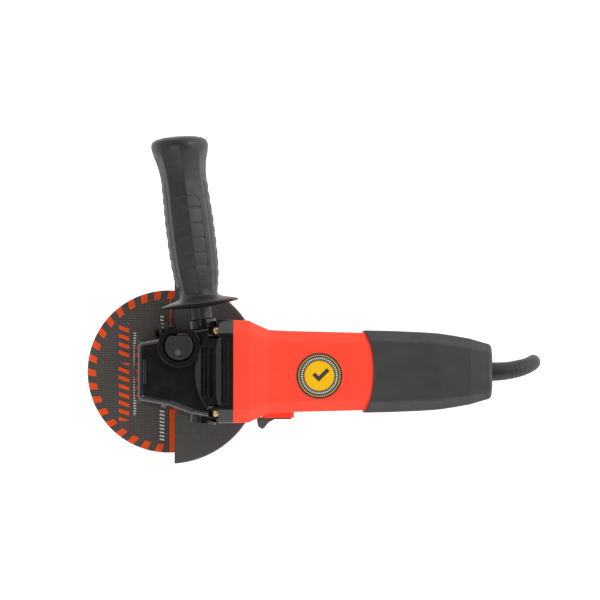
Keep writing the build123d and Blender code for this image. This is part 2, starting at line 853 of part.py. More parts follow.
with BuildPart() as gear_housing_screws:
    for side in (-1, 1):
        for dz in (-screw_dz, screw_dz):
            rod_x(screw_head_x, rear_flange_x - seat, screw_head_radius, side * screw_y, dz)
            rod_x(rear_flange_x - seat, screw_boss_end - 1, screw_shank_radius, side * screw_y, dz)
    fillet(gear_housing_screws.edges().filter_by(GeomType.CIRCLE).sort_by(Axis.X)[:4], 2.2)
    for side in (-1, 1):
        for dz in (-screw_dz, screw_dz):
            with Locations((screw_head_x, side * screw_y, motor_axis_z + dz)):
                for turn in (0, 90):
                    Box(2.6, 0.9, 4.8, rotation=(turn, 0, 0), mode=Mode.SUBTRACT)
gear_housing_screws.part.label = "gear_housing_screws"
export_step(gear_housing_screws.part, "parts/gear_housing_screws.step")

with BuildPart() as bearing_plate:
    turn_x(
        (26.5, front_journal_radius + 0.5),
        (26.5, plate_hub_radius),
        (36, plate_hub_radius),
        (36, plate_radius),
        (40, plate_radius),
        (40, front_bearing_radius + seat),
        (front_bearing_start, front_bearing_radius + seat),
        (front_bearing_start, front_journal_radius + 0.5),
    )
    with Locations(across(30)):
        with PolarLocations(20.5, 6):
            Cylinder(2.2, 40, mode=Mode.SUBTRACT)
bearing_plate.part.label = "bearing_plate"
export_step(bearing_plate.part, "parts/bearing_plate.step")

# ---------------------------------------------------------------- side handle

# The flange is a shallow lens: its rim is at rim_at, and both faces slope in from it.
rim_at = handle_flange_at + 1.2
rim_half = 0.8
grip_start = rim_at + 4.4
grip_stations = (
    (grip_start, 13.4),
    (grip_start + 6, 14.5),
    (grip_start + 19, 16.6),
    (grip_start + 44, 17.6),
    (grip_start + 60, 17.5),
    (grip_start + 80, 16.8),
    (grip_start + 95, 17.0),
    (grip_start + 106, 19.0),
    (grip_start + 113, 21.6),
)
handle_tip = handle_flange_at + handle_length
handle_profile_plane = Plane(handle_seat.origin, x_dir=handle_direction, z_dir=(0, 0, 1))
handle_line = Axis(tuple(handle_seat.origin), tuple(handle_direction))

with BuildPart() as side_handle:
    with BuildSketch(handle_profile_plane):
        with BuildLine():
            Polyline(
                (between, 0),
                (between, 8.0),
                (rim_at - 3.0, 8.4),
                (rim_at - rim_half, handle_flange_radius - rim_half),
                (rim_at, handle_flange_radius),
                (rim_at + rim_half, handle_flange_radius - rim_half),
                grip_stations[0],
            )
            Spline(*grip_stations)
            ThreePointArc(grip_stations[-1], (handle_tip - 2.4, 19.6), (handle_tip - 0.6, 12))
            Polyline((handle_tip - 0.6, 12), (handle_tip, 0), (between, 0))
        make_face()
    revolve(axis=handle_line)
    with BuildSketch(handle_seat):
        Circle(stud_radius + seat)
    extrude(amount=stud_in_grip, mode=Mode.SUBTRACT)
side_handle.part.label = "side_handle"
export_step(side_handle.part, "parts/side_handle.step")

with BuildPart() as handle_stud:
    with BuildSketch(handle_seat.offset(-stud_reach)):
        Circle(stud_radius)
    extrude(amount=stud_reach + stud_in_grip)
    chamfer(handle_stud.faces().sort_by(Axis.Y)[0].edges(), 0.6)
handle_stud.part.label = "handle_stud"
export_step(handle_stud.part, "parts/handle_stud.step")

# ---------------------------------------------------------------- armature

shaft_radius = 5.5
shaft_collar_radius = 6.5

with BuildPart() as armature_shaft:
    turn_x(
        (nut_start_x - 0.5, 0),
        (nut_start_x - 0.5, 3.0),
        (pinion_inner_x, 3.0),
        (pinion_inner_x, pinion_bore),
        (pinion_hub_end, pinion_bore),
        (pinion_hub_end, front_journal_radius),
        (front_bearing_start + front_bearing_width, front_journal_radius),
        (front_bearing_start + front_bearing_width, shaft_collar_radius),
        (fan_start, shaft_collar_radius),
        (fan_start, shaft_radius),
        (rear_bearing_start, shaft_radius),
        (rear_bearing_start, rear_journal_radius),
        (rear_bearing_start + rear_bearing_width + 0.5, rear_journal_radius),
        (rear_bearing_start + rear_bearing_width + 0.5, 0),
    )
armature_shaft.part.label = "armature_shaft"
export_step(armature_shaft.part, "parts/armature_shaft.step")

with BuildPart() as armature_core:
    with BuildSketch(across(stack_start)):
        Circle(armature_radius)
        Circle(shaft_radius + seat, mode=Mode.SUBTRACT)
        with PolarLocations(armature_radius - 1, 12):
            Rectangle(4, 1.6, mode=Mode.SUBTRACT)
        with PolarLocations(armature_radius - 4.5, 12):
            Circle(2.0, mode=Mode.SUBTRACT)
    extrude(amount=stack_end - stack_start)
armature_core.part.label = "armature_core"
export_step(armature_core.part, "parts/armature_core.step")

winding_radius = 15.0
winding_depth = 6.2
with BuildPart() as armature_windings:
    for face, outward in ((stack_start, -1), (stack_end, 1)):
        turn_x(
            (face + outward * between, shaft_radius + 0.6),
            (face + outward * between, winding_radius),
            (face + outward * 0.6 * winding_depth, winding_radius),
            (face + outward * winding_depth, winding_radius - 3),
            (face + outward * winding_depth, shaft_radius + seat),
            (face + outward * 0.5 * winding_depth, shaft_radius + seat),
        )
        with Locations(across(face + outward * winding_depth / 2)):
            with PolarLocations(winding_radius + 0.6, 12):
                Box(1.3, 1.3, 20, mode=Mode.SUBTRACT)
armature_windings.part.label = "armature_windings"
export_step(armature_windings.part, "parts/armature_windings.step")

segment_count = 24
with BuildPart() as commutator:
    turn_x(
        (commutator_start - 2, shaft_radius + seat),
        (commutator_start - 2, commutator_radius + 1.2),
        (commutator_start, commutator_radius + 1.2),
        (commutator_start, commutator_radius),
        (commutator_end, commutator_radius),
        (commutator_end, shaft_radius + seat),
    )
    with Locations(across((commutator_start + commutator_end) / 2)):
        with PolarLocations(commutator_radius, segment_count):
            Box(2.4, 0.5, 30, mode=Mode.SUBTRACT)
commutator.part.label = "commutator"
export_step(commutator.part, "parts/commutator.step")

blade_count = 9
with BuildPart() as fan:
    rings_x(fan_start + seat, fan_end - fan_start, shaft_radius + seat, 9)
    rings_x(fan_end - 1.5, 1.5, shaft_radius + seat, fan_radius)
    with BuildSketch(across(fan_start + 0.5)):
        with PolarLocations(fan_radius - 9.2, blade_count):
            Rectangle(17.6, 1.6, rotation=25)
        Circle(fan_radius - 0.3, mode=Mode.INTERSECT)
        Circle(shaft_radius + 2, mode=Mode.SUBTRACT)
    extrude(amount=fan_end - fan_start - 1)
fan.part.label = "fan"
export_step(fan.part, "parts/fan.step")

# ---------------------------------------------------------------- stator and brushes

coil_inner, coil_outer = 18.0, 21.5
coil_first, coil_last = 20.0, 160.0
pole_first, pole_last = 45.0, 135.0
coil_overhang = 6.0
stator_screw_dz = 23.5
stator_screw_radius = 1.6
stop_rib_end = 121.0

baffle_x = 61.5
baffle_thickness = 2.0
baffle_bore = 20.0

with BuildPart() as air_baffle:
    extrude(shell_section(baffle_x, 33.5, 29.2, 8.8, 2.0), amount=baffle_thickness)
    rod_x(baffle_x, baffle_x + baffle_thickness, baffle_bore, mode=Mode.SUBTRACT)
air_baffle.part.label = "air_baffle"
export_step(air_baffle.part, "parts/air_baffle.step")

with BuildPart() as stator_core:
    rings_x(stack_start, stack_end - stack_start, stator_bore, stator_radius)
    block((stack_start, -stator_flat, 0), (stack_end, stator_flat, 100), Mode.INTERSECT)
    for half in (0, 180):
        for first, last in ((coil_first, pole_first), (pole_last, coil_last)):
            sector(
                stack_start, stack_end, stator_bore - 1, coil_outer + 0.5,
                half + first - 2, half + last + 2, Mode.SUBTRACT,
            )
    for dz in (-stator_screw_dz, stator_screw_dz):
        rod_x(stack_start, stack_end, stator_screw_radius + seat, dz=dz, mode=Mode.SUBTRACT)
stator_core.part.label = "stator_core"
export_step(stator_core.part, "parts/stator_core.step")

with BuildPart() as field_coils:
    for half in (0, 180):
        sector(
            stack_start - coil_overhang, stack_end + coil_overhang, coil_inner, coil_outer,
            half + coil_first, half + coil_last,
        )
        sector(
            stack_start - 0.5, stack_end + 0.5, coil_inner - 1, coil_outer + 1,
            half + pole_first, half + pole_last, Mode.SUBTRACT,
        )
field_coils.part.label = "field_coils"
export_step(field_coils.part, "parts/field_coils.step")

with BuildPart() as stator_screws:
    for dz in (-stator_screw_dz, stator_screw_dz):
        rod_x(stack_start - 2.4, stack_start - seat, 1.95, dz=dz)
        rod_x(stack_start - seat, stop_rib_end - 0.5, stator_screw_radius, dz=dz)
stator_screws.part.label = "stator_screws"
export_step(stator_screws.part, "parts/stator_screws.step")

brush_x = 130.5
brush_length, brush_width = 8.0, 5.0
brush_outer = 20.0
holder_inner = 13.5
grip_half_height = 28.5
holder_outer = grip_half_height - wall - seat


def brush_box(length, width, inner, outer, side, mode=Mode.ADD):
    """A box above or below the commutator, between two distances from the motor's axis."""
    block(
        (brush_x - length / 2, -width / 2, motor_axis_z + side * inner),
        (brush_x + length / 2, width / 2, motor_axis_z + side * outer),
        mode,
    )


with BuildPart() as brush_holders:
    for side in (-1, 1):
        brush_box(brush_length + 3, brush_width + 3, holder_inner, holder_outer, side)
        brush_box(
            brush_length + 2 * running,
            brush_width + 2 * running,
            holder_inner,
            holder_outer - 1.0,
            side,
            Mode.SUBTRACT,
        )
brush_holders.part.label = "brush_holders"
export_step(brush_holders.part, "parts/brush_holders.step")

with BuildPart() as carbon_brushes:
    for side in (-1, 1):
        brush_box(brush_length, brush_width, commutator_radius + between, brush_outer, side)
carbon_brushes.part.label = "carbon_brushes"
export_step(carbon_brushes.part, "parts/carbon_brushes.step")

with BuildPart() as brush_springs:
    for side in (-1, 1):
        spring_start = motor_axis_z + side * (brush_outer + 0.5)
        spring_length = holder_outer - 2 - brush_outer
        coil_spring((brush_x, 0, spring_start), (0, 0, side), spring_length, 1.9, 0.25, 3)
brush_springs.part.label = "brush_springs"
export_step(brush_springs.part, "parts/brush_springs.step")

rubber_radius = 13.5
rubber_start = rear_bearing_start - 0.5
bearing_boss_radius = rubber_radius + 3
with BuildPart() as rear_bearing_seat:
    rings_x(rubber_start, rear_bearing_width + 1, rear_bearing_radius + seat, rubber_radius)
rear_bearing_seat.part.label = "rear_bearing_seat"
export_step(rear_bearing_seat.part, "parts/rear_bearing_seat.step")

# ---------------------------------------------------------------- motor housing

# ribs of (station, half width, half height, bevel)
housing_ribs = (
    (housing_joint_x, collar_half_width, collar_half_height, collar_bevel),
    (60, 38.2, collar_half_height, collar_bevel),
    (66, 35.2, 31.5, 9),
    (75, 31.3, 29.0, 8),
    (85, 30.7, grip_half_height, 8),
    (98, 30.3, grip_half_height, 8),
    (bulkhead_start, 29.25, grip_half_height, 8),
    (160, 29.1, grip_half_height, 8),
)
slider_face = 34.9
slider_floor = 34.3
pad_start, pad_length, pad_height = 70.8, 23.4, 26.0
channel_start, channel_end = 58.5, 93.0
slot_start, slot_end = 66.9, 84.6
window_inner, window_outer, window_arc = rubber_radius + 4.5, rubber_radius + 9.5, 35

with BuildPart() as motor_housing:
    shell_loft(housing_ribs)
    # pad of the slide switch, on the -Y side
    with BuildSketch(motor_plane):
        with Locations((pad_start + pad_length / 2, 0)):
            RectangleRounded(pad_length, pad_height, 3)
    extrude(amount=slider_face)
    # hollow for the motor, and hollow behind the bulkhead
    shell_loft(housing_ribs[:-1], wall, Mode.SUBTRACT)
    shell_loft(((bulkhead_end, 29.2, grip_half_height, 8), housing_ribs[-1]), wall, Mode.SUBTRACT)
    beyond_seam(165, Mode.SUBTRACT)
    # bosses of the housing screws and stops of the stator
    for side in (-1, 1):
        for dz in (-screw_dz, screw_dz):
            place = (side * screw_y, dz)
            rod_x(housing_joint_x, screw_boss_end, 4.5, *place)
            rod_x(housing_joint_x, screw_boss_end - 0.5, screw_shank_radius + seat, *place, Mode.SUBTRACT)
        block(
            (stack_end + seat, -4, motor_axis_z + side * (stator_screw_dz - 1.7)),
            (stop_rib_end, 4, motor_axis_z + side * (grip_half_height - 1)),
        )
        rod_x(
            stack_end,
            stop_rib_end,
            stator_screw_radius + seat,
            dz=side * stator_screw_dz,
            mode=Mode.SUBTRACT,
        )
    # bulkhead: bearing boss, air windows and the opening of the switch rod
    rod_x(bulkhead_start, rear_bearing_start + rear_bearing_width + 2, bearing_boss_radius)
    rod_x(rubber_start, 160, rubber_radius + seat, mode=Mode.SUBTRACT)
    rod_x(bulkhead_start, bulkhead_end, rubber_radius - 1.5, mode=Mode.SUBTRACT)
    for angle in (35, 110, 215, 290):
        sector(
            bulkhead_start,
            bulkhead_end,
            window_inner,
            window_outer,
            angle,
            angle + window_arc,
            Mode.SUBTRACT,
        )
    block(
        (bulkhead_start, -rod_outer - 0.35, motor_axis_z - rod_half_height - 0.5),
        (bulkhead_end, -rod_inner + 0.35, motor_axis_z + rod_half_height + 0.5),
        Mode.SUBTRACT,
    )
    # channel and slot of the slide switch
    block(
        (channel_start, -45, motor_axis_z - channel_half_height),
        (channel_end, -slider_floor, motor_axis_z + channel_half_height),
        Mode.SUBTRACT,
    )
    block(
        (slot_start, -45, motor_axis_z - slot_half_height),
        (slot_end, -20, motor_axis_z + slot_half_height),
        Mode.SUBTRACT,
    )
motor_housing.part.label = "motor_housing"
export_step(motor_housing.part, "parts/motor_housing.step")

badge_x, badge_y = 112.5, -3.2
badge_radius = 17.1
badge_low = motor_axis_z + grip_half_height
with BuildPart() as badge:
    rod_z(badge_low, badge_low + 0.4, badge_radius, badge_x, badge_y)
badge.part.label = "badge"
export_step(badge.part, "parts/badge.step")

# ---------------------------------------------------------------- slide switch

slider_start, slider_end = 66.7, 92.2
slider_half_height = 9.0

with BuildPart() as switch_slider:
    with BuildSketch(level(motor_axis_z - slider_half_height)):
        with BuildLine():
            Polyline(
                (slider_start, -slider_floor - between),
                (slider_start, -36.6),
                (slider_start + 0.9, -41.6),
                (slider_start + 3.3, -43.3),
                (slider_start + 4.9, -42.8),
                (slider_start + 8.3, -38.4),
                (slider_start + 12.8, -36.0),
                (slider_end, -35.9),
                (slider_end, -slider_floor - between),
                close=True,
            )
        make_face()
    extrude(amount=2 * slider_half_height)
    fillet(switch_slider.faces().sort_by(Axis.Y)[0].edges().filter_by(Axis.Z), 0.6)
    block(
        (slot_start + slider_travel + 0.6, -slider_floor - between, motor_axis_z - 4),
        (slot_end - 0.6, -rod_outer, motor_axis_z + 4),
    )
switch_slider.part.label = "switch_slider"
export_step(switch_slider.part, "parts/switch_slider.step")

rod_arm_reach = bearing_boss_radius + 0.6
with BuildPart() as switch_rod:
    block(
        (rod_start_x, -rod_outer, motor_axis_z - rod_half_height),
        (rod_end_x, -rod_inner, motor_axis_z + rod_half_height),
    )
    block(
        (rod_arm_start, -rod_outer, motor_axis_z - rod_half_height),
        (rod_arm_end, -rod_arm_reach, motor_axis_z + rod_half_height),
    )
switch_rod.part.label = "switch_rod"
export_step(switch_rod.part, "parts/switch_rod.step")

spring_y = -(rod_inner + rod_outer) / 2
spring_length = spring_stop_x - rod_end_x - 1
with BuildPart() as switch_spring:
    coil_spring((rod_end_x + 0.5, spring_y, motor_axis_z), (1, 0, 0), spring_length, 1.9, 0.35, 8)
switch_spring.part.label = "switch_spring"
export_step(switch_spring.part, "parts/switch_spring.step")

with BuildPart() as switch_body:
    block((switch_start, -22.3, motor_axis_z - 10), (switch_end, -9, motor_axis_z + 10))
    fillet(switch_body.edges().filter_by(Axis.X), 1.0)
    # plunger that the rod's arm works
    block((switch_start - 1.5, -21.0, motor_axis_z - 2), (switch_start, -rod_arm_reach, motor_axis_z + 2))
switch_body.part.label = "switch_body"
export_step(switch_body.part, "parts/switch_body.step")

with BuildPart() as capacitor:
    with Locations((175, 12, motor_axis_z)):
        Box(18, 12, 18)
    fillet(capacitor.edges(), 1.0)
capacitor.part.label = "capacitor"
export_step(capacitor.part, "parts/capacitor.step")

# ---------------------------------------------------------------- rear cover and cord clamp

cover_ribs = (
    (146, 31.0, 29.5, 8),
    (166, 30.6, 29.3, 8),
    (190, 29.6, 28.8, 8),
    (203, 28.7, 28.0, 8),
    (214.5, 27.0, 26.5, 7.5),
    (226.5, 24.9, 25.0, 7),
    (tail_wall_x, 22.2, 22.7, 6.3),
)
tail_half_width, tail_half_height, tail_bevel = 21.3, 21.8, 6.0
side_screw_x, side_screw_y, side_screw_dz = 226.0, 24.9, 9.0
sleeve_bore = 7.5

side_head_radius, side_shank_radius = 2.5, 1.5
vent_start, vent_end = 180.0, 206.0
vent_heights = (-16, -11, 11, 16)


def rounded_end():
    """Ribs that turn the end of the tail in along a quarter circle."""
    ribs = []
    for angle in (0, 22.5, 45, 67.5, 90):
        inward = tail_rounding * (1 - math.cos(math.radians(angle)))
        station = tail_x - tail_rounding * (1 - math.sin(math.radians(angle)))
        bevel = tail_bevel - 0.3 * inward
        ribs.append((station, tail_half_width - inward, tail_half_height - inward, bevel))
    return tuple(ribs)


with BuildPart() as rear_cover:
    shell_loft(cover_ribs[:-1] + rounded_end())
    shell_loft(cover_ribs, wall, Mode.SUBTRACT)
    beyond_seam(260, Mode.INTERSECT)
    rod_x(tail_wall_x, tail_x, sleeve_bore, mode=Mode.SUBTRACT)
    for side in (-1, 1):
        with Locations((side_screw_x, side * side_screw_y, motor_axis_z + side_screw_dz)):
            Cylinder(side_head_radius + 0.2, 3.2, rotation=(90, 0, 0), mode=Mode.SUBTRACT)
            Cylinder(side_shank_radius + seat, 12, rotation=(90, 0, 0), mode=Mode.SUBTRACT)
        for dz in vent_heights:
            block(
                (vent_start, side * 32, motor_axis_z + dz - 1),
                (vent_end, side * 20, motor_axis_z + dz + 1),
                Mode.SUBTRACT,
            )
    # stop of the switch spring
    block(
        (spring_stop_x, -28.4, motor_axis_z - 4),
        (spring_stop_x + 2.5, -23.2, motor_axis_z + 4),
    )
rear_cover.part.label = "rear_cover"
export_step(rear_cover.part, "parts/rear_cover.step")

clamp_start, clamp_end = 222.0, 229.5
clamp_middle = (clamp_start + clamp_end) / 2
clamp_screw_y = 8.0
clamp_post_y = 15.0
saddle_half_width = 21.3
saddle_low, saddle_high = motor_axis_z - 6, motor_axis_z - 0.2
strap_low, strap_high = motor_axis_z + 0.2, motor_axis_z + 5.2
strap_screw_radius, strap_head_radius = 1.4, 2.5

with BuildPart() as cord_clamp:
    # saddle with two posts, and the strap that holds the cord in it
    block((clamp_start, -saddle_half_width, saddle_low), (clamp_end, saddle_half_width, saddle_high))
    for side in (-1, 1):
        block(
            (clamp_start, side * clamp_post_y - 3, saddle_high),
            (clamp_end, side * clamp_post_y + 3, motor_axis_z + 13),
        )
    block((clamp_start, -11, strap_low), (clamp_end, 11, strap_high))
    rod_x(clamp_start, clamp_end, cord_diameter / 2 + seat, mode=Mode.SUBTRACT)
    for side in (-1, 1):
        place = (clamp_middle, side * clamp_screw_y)
        rod_z(saddle_low + 1, strap_high, strap_screw_radius + seat, *place, Mode.SUBTRACT)
        with Locations((side_screw_x, side * clamp_post_y, motor_axis_z + side_screw_dz)):
            Cylinder(side_shank_radius + seat, 12, rotation=(90, 0, 0), mode=Mode.SUBTRACT)
cord_clamp.part.label = "cord_clamp"
export_step(cord_clamp.part, "parts/cord_clamp.step")

with BuildPart() as cord_clamp_screws:
    for side in (-1, 1):
        place = (clamp_middle, side * clamp_screw_y)
        rod_z(saddle_low + 1.2, strap_high + seat, strap_screw_radius, *place)
        rod_z(strap_high + seat, strap_high + 2, strap_head_radius, *place)
cord_clamp_screws.part.label = "cord_clamp_screws"
export_step(cord_clamp_screws.part, "parts/cord_clamp_screws.step")

with BuildPart() as rear_cover_screws:
    for side in (-1, 1):
        with Locations((side_screw_x, side * (side_screw_y - 1.2), motor_axis_z + side_screw_dz)):
            Cylinder(side_head_radius, 0.8, rotation=(90, 0, 0))
        with Locations((side_screw_x, side * (side_screw_y - 6.2), motor_axis_z + side_screw_dz)):
            Cylinder(side_shank_radius, 10, rotation=(90, 0, 0))
rear_cover_screws.part.label = "rear_cover_screws"
export_step(rear_cover_screws.part, "parts/rear_cover_screws.step")

# ---------------------------------------------------------------- mains lead

sleeve_start_x = 237.5
sleeve_end = (279.0, 7.7, 20.0)
sleeve_flange_radius = 9.0
sleeve_ribs = ((0, 7.15), (0.12, 7.1), (0.4, 6.5), (0.6, 6.0), (0.8, 5.5), (1, 5.1))
cord_radius = cord_diameter / 2

with BuildPart() as inner_cord:
    rod_x(205, sleeve_start_x, cord_radius)
inner_cord.part.label = "inner_cord"
export_step(inner_cord.part, "parts/inner_cord.step")

with BuildPart() as cable_sleeve:
    with BuildLine() as sleeve_line:
        Spline(
            (sleeve_start_x, 0, motor_axis_z),
            (258, 0.6, motor_axis_z - 1.6),
            (272.5, 4.4, 37.5),
            sleeve_end,
            tangents=((1, 0, 0), (0, 0, -1)),
        )
    sleeve_sections = []
    for share, radius in sleeve_ribs:
        plane = Plane(origin=sleeve_line.line @ share, z_dir=sleeve_line.line % share)
        with BuildSketch(plane) as section:
            Circle(radius)
        sleeve_sections.append(section.sketch)
    loft(sleeve_sections)
    rod_x(sleeve_start_x, tail_wall_x - seat, sleeve_flange_radius)
cable_sleeve.part.label = "cable_sleeve"
export_step(cable_sleeve.part, "parts/cable_sleeve.step")

floor_layer_z = floor_z + cord_radius
top_layer_z = floor_z + (hank_layers - 0.5) * cord_diameter
hank_half_width = hank_fold_radius + cord_radius
first_fold_x = hank_start_x + hank_half_width
last_fold_x = first_fold_x + hank_run

with BuildPart() as power_cord:
    tube(
        "power_cord",
        (
            sleeve_end,
            (279.0, 7.7, 7.5),
            (272.6, 6.3, -3.8),
            (261.6, 3.9, floor_layer_z),
            (239.0, -1.9, floor_layer_z),
            (last_fold_x + 8.9, -hank_fold_radius, floor_layer_z),
            (last_fold_x - 10.9, -hank_fold_radius, floor_layer_z),
        ),
    )
power_cord.part.label = "power_cord"
export_step(power_cord.part, "parts/power_cord.step")

with BuildPart() as cord_hank:
    with BuildSketch(level(floor_z)):
        with Locations(((first_fold_x + last_fold_x) / 2, 0)):
            SlotCenterToCenter(hank_run, 2 * hank_half_width)
            SlotCenterToCenter(hank_run, 2 * (hank_half_width - cord_diameter), mode=Mode.SUBTRACT)
    extrude(amount=hank_layers * cord_diameter)
    fillet(cord_hank.faces().filter_by(Axis.Z).edges(), 2.4)
cord_hank.part.label = "cord_hank"
export_step(cord_hank.part, "parts/cord_hank.step")

plug_route = ((92.0, 0), (105.0, 0), (118.9, 0.2), (136.5, 0.8), (150.4, 1), (plug_end_x, 1))
with BuildPart() as plug_cord:
    tube(
        "plug_cord",
        [
            (x, hank_fold_radius * (1 - share), top_layer_z + (plug_z - top_layer_z) * share)
            for x, share in plug_route
        ],
    )
plug_cord.part.label = "plug_cord"
export_step(plug_cord.part, "parts/plug_cord.step")

plug_dz = plug_z - motor_axis_z
plug_ribs = ((plug_shoulder_x, 8, 8), (180, 14, 10), (188, 17, 11), (plug_face_x, 17, 11))
with BuildPart() as plug_body:
    plug_sections = []
    for station, half_width, half_height in plug_ribs:
        with BuildSketch(across(station, dz=plug_dz)) as section:
            RectangleRounded(2 * half_width, 2 * half_height, 5)
        plug_sections.append(section.sketch)
    loft(plug_sections, ruled=True)
    fillet(plug_body.faces().sort_by(Axis.X)[-1].edges(), 1.5)
    with Locations(across((plug_end_x + plug_shoulder_x) / 2, dz=plug_dz)):
        Cone(4.6, 6.4, plug_shoulder_x - plug_end_x)
plug_body.part.label = "plug_body"
export_step(plug_body.part, "parts/plug_body.step")

with BuildPart() as plug_pins:
    for side in (-1, 1):
        rod_x(plug_face_x, plug_face_x + pin_length, pin_radius, side * pin_spread, plug_dz)
    fillet(plug_pins.faces().filter_by(Axis.X).sort_by(Axis.X)[-2:].edges(), 1.2)
plug_pins.part.label = "plug_pins"
export_step(plug_pins.part, "parts/plug_pins.step")

tie_sheet = 0.4
tie_start, tie_end = 185.0, 193.0
hank_top = floor_z + hank_layers * cord_diameter
run_inner, run_outer = hank_fold_radius - cord_radius, hank_fold_radius + cord_radius
with BuildPart() as cord_tie:
    block(
        (tie_start, run_inner - tie_sheet, floor_z),
        (tie_end, run_outer + tie_sheet, hank_top + tie_sheet),
    )
    block(
        (tie_start, run_inner + seat, floor_z + tie_sheet),
        (tie_end, run_outer - seat, hank_top - seat),
        Mode.SUBTRACT,
    )
cord_tie.part.label = "cord_tie"
export_step(cord_tie.part, "parts/cord_tie.step")
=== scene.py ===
import math

import bmesh
import bpy
from mathutils import Matrix, Vector


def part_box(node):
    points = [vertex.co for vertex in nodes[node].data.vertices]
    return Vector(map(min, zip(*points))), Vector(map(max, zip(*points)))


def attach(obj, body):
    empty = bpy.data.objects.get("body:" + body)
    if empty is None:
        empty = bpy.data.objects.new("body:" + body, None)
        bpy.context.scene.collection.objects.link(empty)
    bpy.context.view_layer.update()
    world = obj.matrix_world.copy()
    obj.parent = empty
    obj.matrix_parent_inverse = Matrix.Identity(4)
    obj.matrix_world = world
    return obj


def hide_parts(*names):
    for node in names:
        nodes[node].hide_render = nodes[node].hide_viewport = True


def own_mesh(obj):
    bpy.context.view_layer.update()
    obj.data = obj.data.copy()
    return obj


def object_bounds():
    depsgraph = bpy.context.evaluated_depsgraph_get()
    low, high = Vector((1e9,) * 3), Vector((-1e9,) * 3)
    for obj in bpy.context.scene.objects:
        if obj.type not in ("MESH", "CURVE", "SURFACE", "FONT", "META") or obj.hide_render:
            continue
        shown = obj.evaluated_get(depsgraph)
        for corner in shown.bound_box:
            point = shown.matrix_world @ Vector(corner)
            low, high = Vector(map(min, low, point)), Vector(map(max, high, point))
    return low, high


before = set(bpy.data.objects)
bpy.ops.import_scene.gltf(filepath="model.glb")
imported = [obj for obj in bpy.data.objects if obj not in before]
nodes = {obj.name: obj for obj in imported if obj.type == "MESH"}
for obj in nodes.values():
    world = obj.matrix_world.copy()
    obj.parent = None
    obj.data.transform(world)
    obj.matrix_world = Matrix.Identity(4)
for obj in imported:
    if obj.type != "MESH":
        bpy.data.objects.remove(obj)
cad_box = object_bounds()

MM = 0.001
FLOOR_Z = cad_box[0][2]


def mm(*values):
    """A point given in millimetres."""
    return Vector([value * MM for value in values])


# ---------------------------------------------------------------- materials

COAT_ROUGHNESS = 0.08
METAL_EDGE = 0.25
BEVEL_SAMPLES = 6
# added to a pattern's steps, so that none is below zero
KEEP_POSITIVE = 100.0
# noise, as its scale and detail, and the part of its range that is spread out
CLOUD, CLOUD_RANGE = (55, 4), (0.35, 0.65)
STAIN, STAIN_RANGE = (120, 4), (0.3, 0.6)
DUST, DUST_RANGE = (1500, 2), (0.45, 0.75)
RUB, WEAR = (180, 5), (70, 5)
PEEL, PEEL_DEPTH = (420, 1), 0.02
GLOSS_RANGE = (0.3, 0.7)
# how far roughness goes below and above its usual value
RUB_GLOSS, SCRATCH_GLOSS, WEAR_GLOSS = (-0.06, 0.08), (-0.08, 0.12), (-0.05, 0.1)
STAIN_SHADE = 0.72
DUST_LIFT, DUST_FLOOR = 1.5, 0.002


def map_range(tree, value, low, high, to_low, to_high):
    """A node that takes value from low..high to to_low..to_high, and holds it at its ends."""
    node = tree.nodes.new("ShaderNodeMapRange")
    names = ("From Min", "From Max", "To Min", "To Max")
    for name, number in zip(names, (low, high, to_low, to_high)):
        node.inputs[name].default_value = number
    tree.links.new(value, node.inputs["Value"])
    return node


